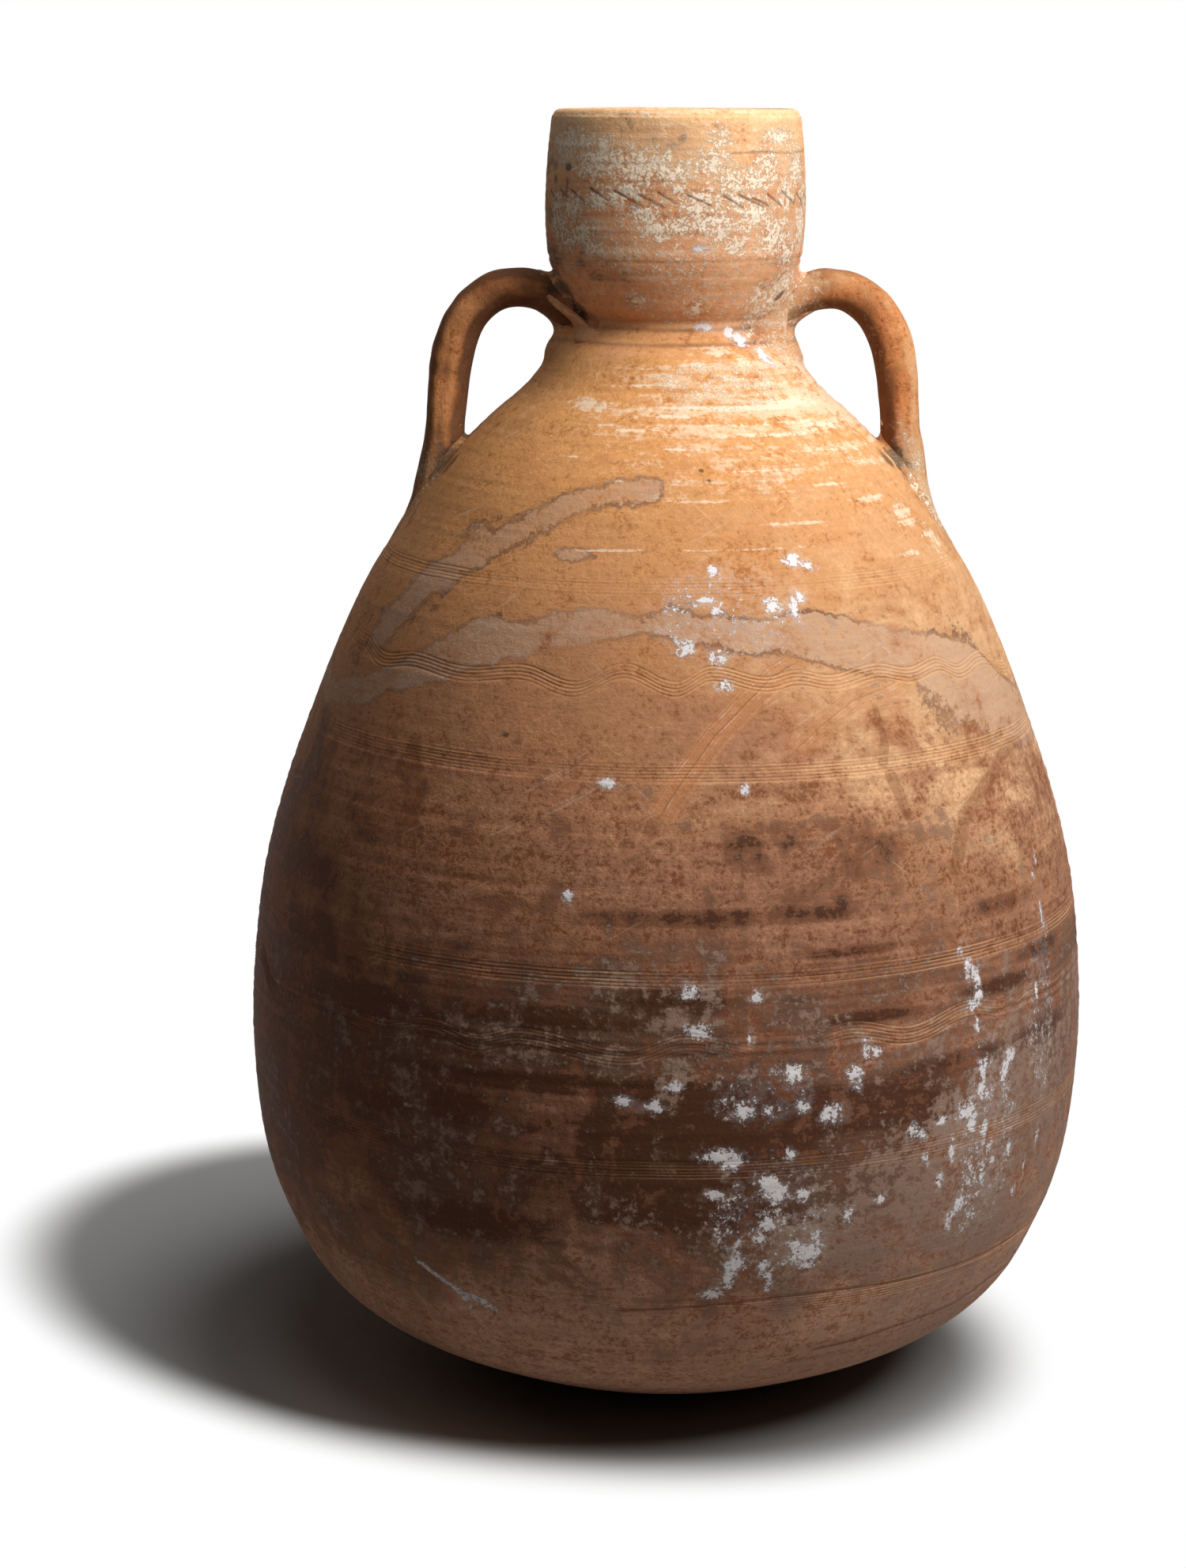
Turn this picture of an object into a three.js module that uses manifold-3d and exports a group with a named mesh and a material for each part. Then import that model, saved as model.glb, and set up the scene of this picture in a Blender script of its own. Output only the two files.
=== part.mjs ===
// A hand-made terracotta storage jar with two loop handles, in millimetres, +Z up.
// It stands on the origin. The handles lie along X, and -Y is the front.
import * as THREE from "three";
import { mergeVertices } from "three/addons/utils/BufferGeometryUtils.js";
import Module from "manifold-3d";

// Heights, from the ground up
const belly_height = 177;
const body_height = 490;
const neck_height = 36;
const collar_height = 74;

// Radii of the outer face
const foot_radius = 44;
const belly_radius = 198.5;
const neck_root_radius = 55;
const waist_radius = 42.3;
const collar_radius = 60.3;
const lip_radius = 56.8;

// Walls
const body_wall = 11;
const collar_wall = 9;
const lip_edge_radius = 3.5;

// Handles, measured to the middle of the clay
const handle_reach = 106;
const handle_rise = 28.4;
const handle_drop = 60;
const handle_thickness = 18;
const handle_width = 25;
const handle_end_depth = 10;

// Wads of clay that bed the handles
const upper_wad_width = 44;
const upper_wad_height = 34;
const upper_wad_depth = 26;
const lower_wad_width = 46;
const lower_wad_length = 58;
const lower_wad_depth = 19;

// Joints between the clay sections
const tongue_height = 4;
const tongue_width = 5;
const joint_clearance = 0.3;
const handle_clearance = 0.3;

// How finely the round shapes are cut into flats
const turns = 40;
const handle_sides = 10;
const handle_steps = 24;
const wad_sides = 14;
const wad_rings = 8;
const outline_samples = 600;

// Levels that the rest follows
const neck_top = body_height + neck_height;
const total_height = neck_top + collar_height;

// Outline of the body below its widest ring: shares of the height there and of the swell from foot to belly
const lower_body_shares = [
  [0, 0], [0.031, 0.21], [0.093, 0.408], [0.175, 0.606], [0.282, 0.771], [0.452, 0.891],
  [0.667, 0.971], [0.82, 0.992], [1, 1],
];
// Above it: shares of the height up to the neck and of the swell from neck to belly
const upper_body_shares = [
  [0.113, 0.985], [0.227, 0.952], [0.341, 0.888], [0.455, 0.801], [0.569, 0.703], [0.667, 0.6],
  [0.749, 0.487], [0.83, 0.357], [0.895, 0.226], [0.944, 0.112], [0.977, 0.0425], [1, 0],
];
// Outline of the neck: shares of its height, with shares of the swell from its waist to its root, then to the collar
const neck_below_waist_shares = [[0.222, 0.205], [0.39, 0]];
const neck_above_waist_shares = [[0.589, 0.306], [0.789, 0.539], [0.958, 0.739]];
// Outline of the collar: shares of its height and of the swell from its lip to its widest ring
const collar_shares = [[0.062, 0.43], [0.173, 0.77], [0.38, 1], [0.655, 0.8], [0.89, 0.35]];

// Heights of the joints as shares of the part that they cross
const bowl_joint_share = 0.493;
const belly_joint_share = 0.191;
const shoulder_joint_share = 0.7035;

// Handle route: shares of the reach from waist to bow, and of the rise above or the drop below the neck root
const handle_rising_shares = [[-0.02, 0.46], [0.163, 0.77], [0.46, 1], [0.72, 0.8], [0.834, 0.55], [0.921, 0.155]];
const handle_falling_shares = [[0.969, 0.138], [0.989, 0.343], [1.017, 0.717], [1.049, 0.887]];
const handle_end_share = 1.22;

// Place of the upper wads along the wall
const upper_wad_place_share = 0.45;

const terracotta = new THREE.MeshStandardMaterial({ color: 0xc07a45, roughness: 0.85, metalness: 0 });
const dark_terracotta = new THREE.MeshStandardMaterial({ color: 0x7d4a2d, roughness: 0.85, metalness: 0 });
const pale_clay = new THREE.MeshStandardMaterial({ color: 0xd09a68, roughness: 0.9, metalness: 0 });

const between = (low, high, share) => low + (high - low) * share;

const bowl_joint = bowl_joint_share * belly_height;
const belly_joint = between(belly_height, body_height, belly_joint_share);
const shoulder_joint = between(belly_height, body_height, shoulder_joint_share);

// The outer outline from the foot to the lip, as radius and height
function outerOutline() {
  const points = lower_body_shares.map(
    ([rise, swell]) => new THREE.Vector2(between(foot_radius, belly_radius, swell), rise * belly_height),
  );
  for (const [rise, swell] of upper_body_shares) {
    const height = between(belly_height, body_height, rise);
    points.push(new THREE.Vector2(between(neck_root_radius, belly_radius, swell), height));
  }
  for (const [rise, swell] of neck_below_waist_shares) {
    points.push(new THREE.Vector2(between(waist_radius, neck_root_radius, swell), body_height + rise * neck_height));
  }
  for (const [rise, swell] of neck_above_waist_shares) {
    points.push(new THREE.Vector2(between(waist_radius, collar_radius, swell), body_height + rise * neck_height));
  }
  for (const [rise, swell] of collar_shares) {
    points.push(new THREE.Vector2(between(lip_radius, collar_radius, swell), neck_top + rise * collar_height));
  }
  points.push(new THREE.Vector2(lip_radius, total_height));
  return new THREE.SplineCurve(points).getPoints(outline_samples);
}

// The wall thickness at a height, which thins from the shoulder to the collar
function wallAt(height) {
  const share = (height - shoulder_joint) / (neck_top - shoulder_joint);
  return between(body_wall, collar_wall, THREE.MathUtils.clamp(share, 0, 1));
}

// The inner outline is the outer one set in by the wall, square to it
function innerOutline(outer) {
  const inner = [];
  for (let i = 1; i < outer.length - 1; i += 1) {
    const along = outer[i + 1].clone().sub(outer[i - 1]).normalize();
    const wall = wallAt(outer[i].y);
    const point = new THREE.Vector2(outer[i].x - wall * along.y, outer[i].y + wall * along.x);
    if (!inner.length || point.y > inner[inner.length - 1].y) inner.push(point);
  }
  return inner;
}

const outer_outline = outerOutline();
const inner_outline = innerOutline(outer_outline);

// The radius of an outline at a height
function radiusAt(outline, height) {
  const next = outline.findIndex((point) => point.y >= height);
  if (next <= 0) return outline[next === 0 ? 0 : outline.length - 1].x;
  const [low, high] = [outline[next - 1], outline[next]];
  return between(low.x, high.x, (height - low.y) / (high.y - low.y));
}

// How far the outer face leans in for each millimetre up, at a height
function leanAt(height) {
  return (radiusAt(outer_outline, height - body_wall) - radiusAt(outer_outline, height + body_wall)) / (2 * body_wall);
}

// A shape turned round the jar's axis from points of radius and height
function turned(profile) {
  const points = profile.map(([radius, height]) => new THREE.Vector2(radius, height));
  return new THREE.LatheGeometry(points, turns).rotateX(Math.PI / 2);
}

// Points up one face between two heights, both ends included; a crowding over 1 draws them towards the low end
function face(outline, low, high, steps, crowding = 1) {
  return Array.from({ length: steps + 1 }, (_, step) => {
    const height = step === steps ? high : between(low, high, (step / steps) ** crowding);
    return [radiusAt(outline, height), height];
  });
}

const wallMiddle = (height) => (radiusAt(outer_outline, height) + radiusAt(inner_outline, height)) / 2;

// The groove in the top edge of a section takes the tongue under the next one
function grooveAt(height) {
  const middle = wallMiddle(height);
  const half = tongue_width / 2 + joint_clearance;
  return [[middle + half, height], [middle, height - tongue_height - joint_clearance], [middle - half, height]];
}

function tongueAt(height) {
  const middle = wallMiddle(height);
  const half = tongue_width / 2;
  return [[middle - half, height], [middle, height - tongue_height], [middle + half, height]];
}

// The sections of the wall from the ground up, with the steps that cut their outer and inner faces
const sections = {
  base_bowl: { low: 0, high: bowl_joint, outer_steps: 8, inner_steps: 6, crowding: 1.7 },
  lower_wall: { low: bowl_joint, high: belly_joint, outer_steps: 6, inner_steps: 3, crowding: 1 },
  upper_wall: { low: belly_joint, high: shoulder_joint, outer_steps: 5, inner_steps: 3, crowding: 1 },
  shoulder: { low: shoulder_joint, high: body_height, outer_steps: 6, inner_steps: 4, crowding: 1 },
  neck: { low: body_height, high: neck_top, outer_steps: 7, inner_steps: 4, crowding: 1 },
  mouth_collar: { low: neck_top, high: total_height - lip_edge_radius, outer_steps: 6, inner_steps: 4, crowding: 1.4 },
};

function outerFace({ low, high, outer_steps, crowding }) {
  return face(outer_outline, low, high, outer_steps, crowding);
}

function innerFace({ low, high, inner_steps, crowding }) {
  return face(inner_outline, Math.max(low, inner_outline[0].y), high, inner_steps, crowding).reverse();
}

function closed(points) {
  return [...points, points[0]];
}

// The bowl is closed at the axis, over a flat foot
function baseBowl() {
  const bowl = sections.base_bowl;
  const floor = inner_outline[0].y;
  return turned([[0, 0], ...outerFace(bowl), ...grooveAt(bowl.high), ...innerFace(bowl), [0, floor]]);
}

// One ring of the wall between two joints
function wallRing(section) {
  return turned(closed([
    ...outerFace(section), ...grooveAt(section.high), ...innerFace(section), ...tongueAt(section.low),
  ]));
}

// The collar ends in a rounded lip
function mouthCollar() {
  const collar = sections.mouth_collar;
  const corner = lip_edge_radius * (1 - Math.SQRT1_2);
  const inner_radius = lip_radius - collar_wall;
  const lip = [
    [lip_radius - corner, total_height - corner],
    [lip_radius - lip_edge_radius, total_height],
    [inner_radius + lip_edge_radius, total_height],
    [inner_radius + corner, total_height - corner],
  ];
  return turned(closed([...outerFace(collar), ...lip, ...innerFace(collar), ...tongueAt(collar.low)]));
}

// Booleans, on closed meshes of positions alone
const wasm = await Module();
wasm.setup();

function solid(geometry) {
  const bare = geometry.clone();
  bare.deleteAttribute("normal");
  bare.deleteAttribute("uv");
  const merged = mergeVertices(bare);
  const mesh = new wasm.Mesh({
    numProp: 3,
    vertProperties: new Float32Array(merged.attributes.position.array),
    triVerts: new Uint32Array(merged.index.array),
  });
  return new wasm.Manifold(mesh);
}

function geometryOf(manifold) {
  const mesh = manifold.getMesh();
  const geometry = new THREE.BufferGeometry();
  geometry.setAttribute("position", new THREE.BufferAttribute(mesh.vertProperties, 3));
  geometry.setIndex(new THREE.BufferAttribute(mesh.triVerts, 1));
  return geometry;
}

// Everything inside the jar's outer face, grown by the handle clearance
function jarEnvelope() {
  const outside = Object.values(sections).flatMap((section, index) => outerFace(section).slice(index ? 1 : 0));
  const grown = outside.map(([radius, height]) => [radius + handle_clearance, height]);
  return solid(turned([[0, 0], ...grown, [0, outside[outside.length - 1][1]]]));
}

// The middle line of a handle on one side of the jar, 1 for +X and -1 for -X
function handleRoute(side) {
  const points = [];
  for (const [out, up] of handle_rising_shares) {
    points.push(new THREE.Vector3(side * between(waist_radius, handle_reach, out), 0, body_height + up * handle_rise));
  }
  for (const [out, down] of handle_falling_shares) {
    points.push(new THREE.Vector3(side * between(waist_radius, handle_reach, out), 0, body_height - down * handle_drop));
  }
  const end = body_height - handle_end_share * handle_drop;
  const sunk = handle_end_depth * Math.hypot(1, leanAt(end));
  points.push(new THREE.Vector3(side * (radiusAt(outer_outline, end) - sunk), 0, end));
  return new THREE.CatmullRomCurve3(points);
}

// Where the middle of a handle comes down to the wall
function handleFoot() {
  const falling = handleRoute(1).getPoints(outline_samples).filter((point) => point.z < body_height);
  return falling.find((point) => point.x <= radiusAt(outer_outline, point.z)) ?? falling[falling.length - 1];
}

// An oval section swept along the handle's route, grown by a clearance where it is used as a cutter
function handleSweep(side, growth) {
  const section = new THREE.Shape();
  section.absellipse(0, 0, handle_width / 2 + growth, handle_thickness / 2 + growth, 0, Math.PI * 2);
  const outline = new THREE.Shape(section.getSpacedPoints(handle_sides).slice(0, handle_sides));
  return new THREE.ExtrudeGeometry(outline, {
    steps: handle_steps, extrudePath: handleRoute(side), bevelEnabled: false,
  });
}

// A rounded lump with its own width along Y, height along the wall and depth out of it
function wad(width, height, depth) {
  const geometry = new THREE.SphereGeometry(1, wad_sides, wad_rings);
  geometry.scale(depth / 2, width / 2, height / 2);
  return geometry;
}

const envelope = jarEnvelope();

function handle(side) {
  return geometryOf(solid(handleSweep(side, 0)).subtract(envelope));
}

// A wad lies round the handle's end, clear of the handle and of the wall
function bedded(lump, side) {
  const cutter = solid(handleSweep(side, handle_clearance));
  return geometryOf(solid(lump).subtract(cutter).subtract(envelope));
}

function upperLuting(side) {
  const height = body_height + upper_wad_place_share * handle_rise;
  const lump = wad(upper_wad_width, upper_wad_height, upper_wad_depth);
  lump.translate(side * radiusAt(outer_outline, height), 0, height);
  return bedded(lump, side);
}

function lowerLuting(side) {
  const height = handleFoot().z;
  const lump = wad(lower_wad_width, lower_wad_length, lower_wad_depth);
  lump.rotateY(-Math.atan(leanAt(height)));
  lump.translate(radiusAt(outer_outline, height), 0, height);
  if (side < 0) lump.rotateZ(Math.PI);
  return bedded(lump, side);
}

const jar = new THREE.Group();

function add(name, geometry, material) {
  const mesh = new THREE.Mesh(geometry, material);
  mesh.name = name;
  jar.add(mesh);
}

add("base_bowl", baseBowl(), dark_terracotta);
add("lower_wall", wallRing(sections.lower_wall), dark_terracotta);
add("upper_wall", wallRing(sections.upper_wall), terracotta);
add("shoulder", wallRing(sections.shoulder), terracotta);
add("neck", wallRing(sections.neck), terracotta);
add("mouth_collar", mouthCollar(), terracotta);

for (const [name, side] of [["left", -1], ["right", 1]]) {
  add(`handle_${name}`, handle(side), terracotta);
  add(`${name}_upper_luting`, upperLuting(side), pale_clay);
  add(`${name}_lower_luting`, lowerLuting(side), pale_clay);
}

export default jar;
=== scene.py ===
"""A hand-made terracotta storage jar with two loop handles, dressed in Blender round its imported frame."""
import math

import bmesh
import bpy
import numpy as np
from mathutils import Matrix, Vector


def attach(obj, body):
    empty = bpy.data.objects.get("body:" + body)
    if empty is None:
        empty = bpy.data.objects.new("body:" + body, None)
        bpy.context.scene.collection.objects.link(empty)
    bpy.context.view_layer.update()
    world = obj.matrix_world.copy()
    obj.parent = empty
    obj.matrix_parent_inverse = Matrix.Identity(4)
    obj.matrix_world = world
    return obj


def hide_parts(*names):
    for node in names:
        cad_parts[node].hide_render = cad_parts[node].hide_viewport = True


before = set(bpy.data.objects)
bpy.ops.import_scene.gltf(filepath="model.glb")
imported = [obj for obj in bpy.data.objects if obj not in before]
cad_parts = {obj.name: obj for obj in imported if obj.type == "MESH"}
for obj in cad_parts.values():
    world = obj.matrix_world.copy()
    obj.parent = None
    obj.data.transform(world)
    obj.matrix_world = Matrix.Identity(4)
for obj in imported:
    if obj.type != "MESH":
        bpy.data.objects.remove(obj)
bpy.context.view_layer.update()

MM = 0.001

# The outer face from foot to lip: radius and height in millimetres
OUTLINE = [
    (44, 0), (76.5, 5.5), (91.8, 10.5), (107.1, 16.5), (122.4, 23.4), (137.7, 30.9), (151, 39.3), (163.2, 50),
    (173.4, 63.3), (181.6, 80), (188.6, 97.1), (194, 118), (197.3, 145), (198.5, 177), (196.4, 212.4),
    (191.6, 248.1), (182.4, 283.8), (169.9, 319.5), (155.9, 355.2), (141.3, 385.8), (124.6, 411.3),
    (106.4, 436.8), (87, 457.2), (69.5, 472.5), (61.1, 482.7), (55, 490), (44.9, 498), (42.3, 504.1),
    (47.8, 511.2), (52, 518.4), (55.6, 524.5), (58.3, 530.6), (59.5, 538.8), (60.3, 554.1), (59.6, 574.5),
    (58, 592), (56.8, 600),
]
BODY_WALL = 11
COLLAR_WALL = 9
LIP_RADIUS = 3.5
RIM = 600
BOWL_JOINT = 87.3
BELLY_JOINT = 236.8
SHOULDER_JOINT = 397.2
NECK_ROOT = 490
NECK_TOP = 526
TONGUE = 4
TONGUE_HALF = 2.5
JOINT_GAP = 0.3
TURNS = 512
SHARP = math.radians(38)

# The jar leans a little to the right as it stands
LEAN = math.tan(math.radians(0.23))
LEAN_CENTRE = 300


def smooth_line(points, samples):
    """A uniform Catmull-Rom line through points, as an array."""
    held = np.array([points[0], *points, points[-1]], float)
    spans = len(points) - 1
    travel = np.linspace(0, spans, samples)
    i = np.minimum(travel.astype(int), spans - 1)
    w = (travel - i)[:, None]
    a, b, c, d = held[i], held[i + 1], held[i + 2], held[i + 3]
    v0, v1 = (c - a) / 2, (d - b) / 2
    return (2 * b - 2 * c + v0 + v1) * w**3 + (3 * c - 3 * b - 2 * v0 - v1) * w**2 + v0 * w + b


OUTER = smooth_line(OUTLINE, 3000)
OUTER_ARC = np.r_[0, np.cumsum(np.hypot(*np.diff(OUTER, axis=0).T))]


def outer_radius(z):
    return np.interp(z, OUTER[:, 1], OUTER[:, 0])


def inner_face():
    along = np.gradient(OUTER, axis=0)
    along /= np.hypot(along[:, 0], along[:, 1])[:, None]
    share = np.clip((OUTER[:, 1] - SHOULDER_JOINT) / (NECK_TOP - SHOULDER_JOINT), 0, 1)
    wall = BODY_WALL + (COLLAR_WALL - BODY_WALL) * share
    face = np.c_[OUTER[:, 0] - wall * along[:, 1], OUTER[:, 1] + wall * along[:, 0]]
    return face[face[:, 1] >= np.maximum.accumulate(face[:, 1])]


INNER = inner_face()


def inner_radius(z):
    return np.interp(z, INNER[:, 1], INNER[:, 0])


TURN_TABLE = np.linspace(0, 360, 2881)


def ripple(turn, seed, waves, fall=0.7, first=1):
    """A smooth hand-made wander round the jar, about -1 to 1; turn is in degrees."""
    draw = np.random.default_rng(seed)
    total = np.zeros_like(TURN_TABLE)
    for k in range(first, waves + 1):
        total += np.cos(np.radians(TURN_TABLE) * k + draw.uniform(0, 2 * math.pi)) / k**fall
    total /= 1.6 * sum(k ** (-2 * fall) for k in range(first, waves + 1)) ** 0.5
    return np.interp(turn % 360, TURN_TABLE, total)


def lumps(points, size, seed, waves=16):
    """A smooth random swelling through space, about -1 to 1, in lumps that lie about size apart."""
    draw = np.random.default_rng(seed)
    total = np.zeros(len(points))
    for _ in range(waves):
        way = draw.normal(size=3)
        way *= 2 * math.pi / (size * draw.uniform(0.7, 1.6) * np.linalg.norm(way))
        total += np.sin(points @ way + draw.uniform(0, 2 * math.pi))
    return total / math.sqrt(waves)


def ease(value, low, high):
    share = np.clip((value - low) / (high - low), 0, 1)
    return share * share * (3 - 2 * share)


def fade(value, low, high):
    return 1 - ease(value, low, high)


def span(value, low, full, fall, end):
    """Rises to 1 between low and full, and falls back to 0 between fall and end."""
    return ease(value, low, full) * fade(value, fall, end)


def bell(value, half):
    return np.exp(-((value / half) ** 2))


# Half width of a combed line, the step between the rings across it, how far off the rings still wander with a
# straight band, and the azimuth between the turning points of a wavy band at the back
LINE_HALF = 0.36
FINE_RING_STEP = 0.36
WANDER_REACH = 9
WAVE_STEP = 11
# Straight combed bands: height, lines, pitch between lines, depth, seed of the wear
STRAIGHT_BANDS = [
    (396.8, 5, 1.35, 0.3, 1),
    (321.6, 6, 1.4, 0.42, 2),
    (236.8, 5, 1.55, 0.45, 3),
    (154.0, 6, 1.45, 0.32, 4),
    (87.3, 7, 1.35, 0.38, 5),
]
# Wavy combed bands: also how far off the rings still follow them, and the path's turning points as azimuth
# and height, with the rest of the turn filled in
WAVY_BANDS = [
    (357.5, 5, 1.5, 0.42, 6, 20, [
        (-65.6, 362), (-56, 356.5), (-47.4, 359.5), (-36, 357), (-24.7, 360.2), (-15.4, 354.7), (-7.3, 363.2),
        (1.1, 355.9), (6.9, 362.2), (16, 357.2), (21, 359.4), (27, 356.6), (35.8, 359.6), (43.2, 356.2),
        (50, 358.8), (56, 353.6), (64, 356.4), (76.9, 347.5),
    ]),
    (208.0, 6, 1.5, 0.45, 7, 18, [
        (-65.1, 200.1), (-52, 208), (-39.7, 203.3), (-31, 208), (-24.7, 204.5), (-18.2, 209.4), (-4.9, 203),
        (2.9, 210.1), (13.4, 204.2), (24, 211.7), (32.8, 206.3), (43, 212.5), (50, 208.5), (57, 212.3),
        (64, 209.4), (75, 212),
    ]),
    (58.6, 5, 1.4, 0.2, 8, 12, [
        (-35.5, 57.5), (-27, 60.5), (-15.9, 63.2), (-4.1, 58.8), (8, 61), (20.5, 55.1), (30.4, 61),
        (41, 56.5), (52.4, 58.1), (64, 61),
    ]),
]


def full_turn(points):
    """Carries a wavy path on round the back at the same swing."""
    levels = [z for _, z in points]
    middle, swing = sum(levels) / len(levels), (max(levels) - min(levels)) / 2.6
    rest = 360 - points[-1][0] + points[0][0]
    count = 2 * round(rest / WAVE_STEP / 2)
    return points + [
        (points[-1][0] + rest / count * k, middle + (swing if k % 2 else -swing)) for k in range(1, count)
    ]


def eased_path(turn, points):
    """The height of a path that turns smoothly at each of its points."""
    path = np.array(points)
    start = path[0, 0]
    across = (turn - start) % 360
    x = np.r_[path[:, 0] - start, 360]
    z = np.r_[path[:, 1], path[0, 1]]
    i = np.clip(np.searchsorted(x, across, side="right") - 1, 0, len(x) - 2)
    share = (across - x[i]) / (x[i + 1] - x[i])
    return z[i] + (z[i + 1] - z[i]) * (1 - np.cos(math.pi * share)) / 2


def warp(turn, level):
    """How far a ring at this level is moved up or down, so that it follows the comb."""
    moved = np.zeros_like(level)
    for height, lines, pitch, _, seed, *wave in STRAIGHT_BANDS + WAVY_BANDS:
        half = lines * pitch / 2
        reach = wave[0] if wave else WANDER_REACH
        near = np.flatnonzero(np.abs(level - height) < half + reach)
        here = turn[near]
        if wave:
            shift = eased_path(here, full_turn(wave[1])) - height
        else:
            shift = 0.45 * ripple(here, seed + 20, 9) + 0.12 * ripple(here, seed + 40, 40, 0.4, 12)
        moved[near] += fade(np.abs(level[near] - height), half, half + reach) * shift
    return moved


def comb_lines(turn, level):
    """Depth of the combed lines in millimetres."""
    depth = np.zeros_like(level)
    for band in STRAIGHT_BANDS + WAVY_BANDS:
        height, lines, pitch, deep, seed = band[:5]
        near = np.flatnonzero(np.abs(level - height) < lines * pitch)
        here = turn[near]
        worn = deep * np.clip(0.72 + 0.5 * ripple(here, seed + 60, 14, 0.5), 0.08, 1.15)
        for line in range(lines):
            off = level[near] - height - (line - (lines - 1) / 2) * pitch
            part = np.clip(0.85 + 0.35 * ripple(here, seed * 7 + line, 30, 0.3, 3), 0.2, 1.2)
            depth[near] += worn * part * bell(off, LINE_HALF)
    return depth


def ring_levels(low, high, coarse):
    """Levels of a section's rings: close together across the combed bands, wider apart elsewhere."""
    start, end = (np.interp(h, OUTER[:, 1], OUTER_ARC) for h in (low, high))
    spots = [start]
    while spots[-1] < end:
        level = np.interp(spots[-1], OUTER_ARC, OUTER[:, 1])
        reach = min(abs(level - b[0]) - b[1] * b[2] / 2 for b in STRAIGHT_BANDS + WAVY_BANDS)
        spots.append(spots[-1] + FINE_RING_STEP + (coarse - FINE_RING_STEP) * float(ease(reach, 0.3, 4)))
    spots = start + (np.array(spots) - start) * (end - start) / (spots[-1] - start)
    return np.interp(spots, OUTER_ARC, OUTER[:, 1])


# Strokes of a tool: path as azimuth and height, half width and depth in millimetres
SCRAPES = [
    ([(-1.5, 301), (0.5, 311), (3, 322), (7, 337), (11.8, 349), (17, 360), (23.5, 368)], 5.5, 0.4),
    ([(17.6, 326.5), (24, 339), (30, 348), (37, 352), (44, 357)], 5, 0.22),
    ([(9.6, 338.6), (14.5, 332), (19.7, 326)], 0.9, 0.2),
    ([(2.2, 306), (6, 320), (11, 333)], 1, 0.18),
]
# Dark lines on the bottom and a crack in the collar: path, half width and strength
HAIR_LINES = [
    ([(24, 57.5), (29, 58.4), (37, 62), (51, 63.6), (59, 69), (72, 66)], 0.9, 0.8),
    ([(-6, 84.4), (5, 87.3), (16, 90.2), (25, 90.6), (36, 89), (53, 88.7), (63, 89.8), (80, 86)], 0.8, 0.6),
    ([(24, 580.6), (40, 581.2), (58, 580.4), (84, 581.4)], 0.38, 0.5),
]
# How far from a thin line its trace is worked out
LINE_REACH = 3
# Slanted strokes round the collar: azimuth and height at both ends
COLLAR_STROKES = [
    (-84, 562, -76, 557), (-72, 563, -63, 558), (-61, 564, -54, 560.5), (-52, 564, -43, 559),
    (-40, 565, -30, 559.5), (-27, 564, -15.5, 558), (-16, 562.5, -5, 557), (-7.5, 563.5, 0, 559),
    (5, 562.5, 15, 558), (21, 562, 30, 557), (28, 562.5, 41, 557), (35, 561, 44, 557.5),
    (43.5, 562.5, 52, 557.5), (53, 563.8, 63, 557.8), (63, 558, 65, 561.5), (66, 562.5, 75, 557),
    (75, 557.5, 77, 561.5), (78, 562, 87, 557),
]


def strokes_round():
    back = [(a, 562.5 + 0.8 * math.sin(a), a + 9, 557.6) for a in range(97, 268, 12)]
    return [[stroke[:2], stroke[2:]] for stroke in COLLAR_STROKES + back]


def away(turn, z, path, reach=24):
    """Distance over the surface from a path of azimuths and heights, the share gone along it and its side."""
    best = np.full(len(z), 1e3)
    gone = np.zeros(len(z))
    side = np.ones(len(z))
    heights = [h for _, h in path]
    near = np.flatnonzero((z > min(heights) - reach) & (z < max(heights) + reach))
    here, level = turn[near], z[near]
    scale = np.radians(1) * outer_radius(np.mean(heights))
    spans = len(path) - 1
    for n in range(spans):
        (a0, z0), (a1, z1) = path[n], path[n + 1]
        off = (here - a0 + 180) % 360 - 180
        ax, az = (a1 - a0) * scale, z1 - z0
        t = np.clip((off * scale * ax + (level - z0) * az) / (ax * ax + az * az), 0, 1)
        far = np.hypot(off * scale - t * ax, level - z0 - t * az)
        closer = far < best[near]
        best[near] = np.where(closer, far, best[near])
        gone[near] = np.where(closer, (n + t) / spans, gone[near])
        side[near] = np.where(closer, np.sign(off * scale * az - (level - z0) * ax), side[near])
    return best, gone, side


def islands(turn, z, spots):
    """1 in the middle of each spot, 0 at its edge and less outside."""
    field = np.full(len(z), -1.0)
    scale = np.radians(1) * outer_radius(z)
    for a, h, wide, tall in spots:
        near = np.flatnonzero(np.abs(z - h) < 2 * tall)
        off = ((turn[near] - a + 180) % 360 - 180) * scale[near]
        field[near] = np.maximum(field[near], 1 - np.hypot(off / wide, (z[near] - h) / tall))
    return field


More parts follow.
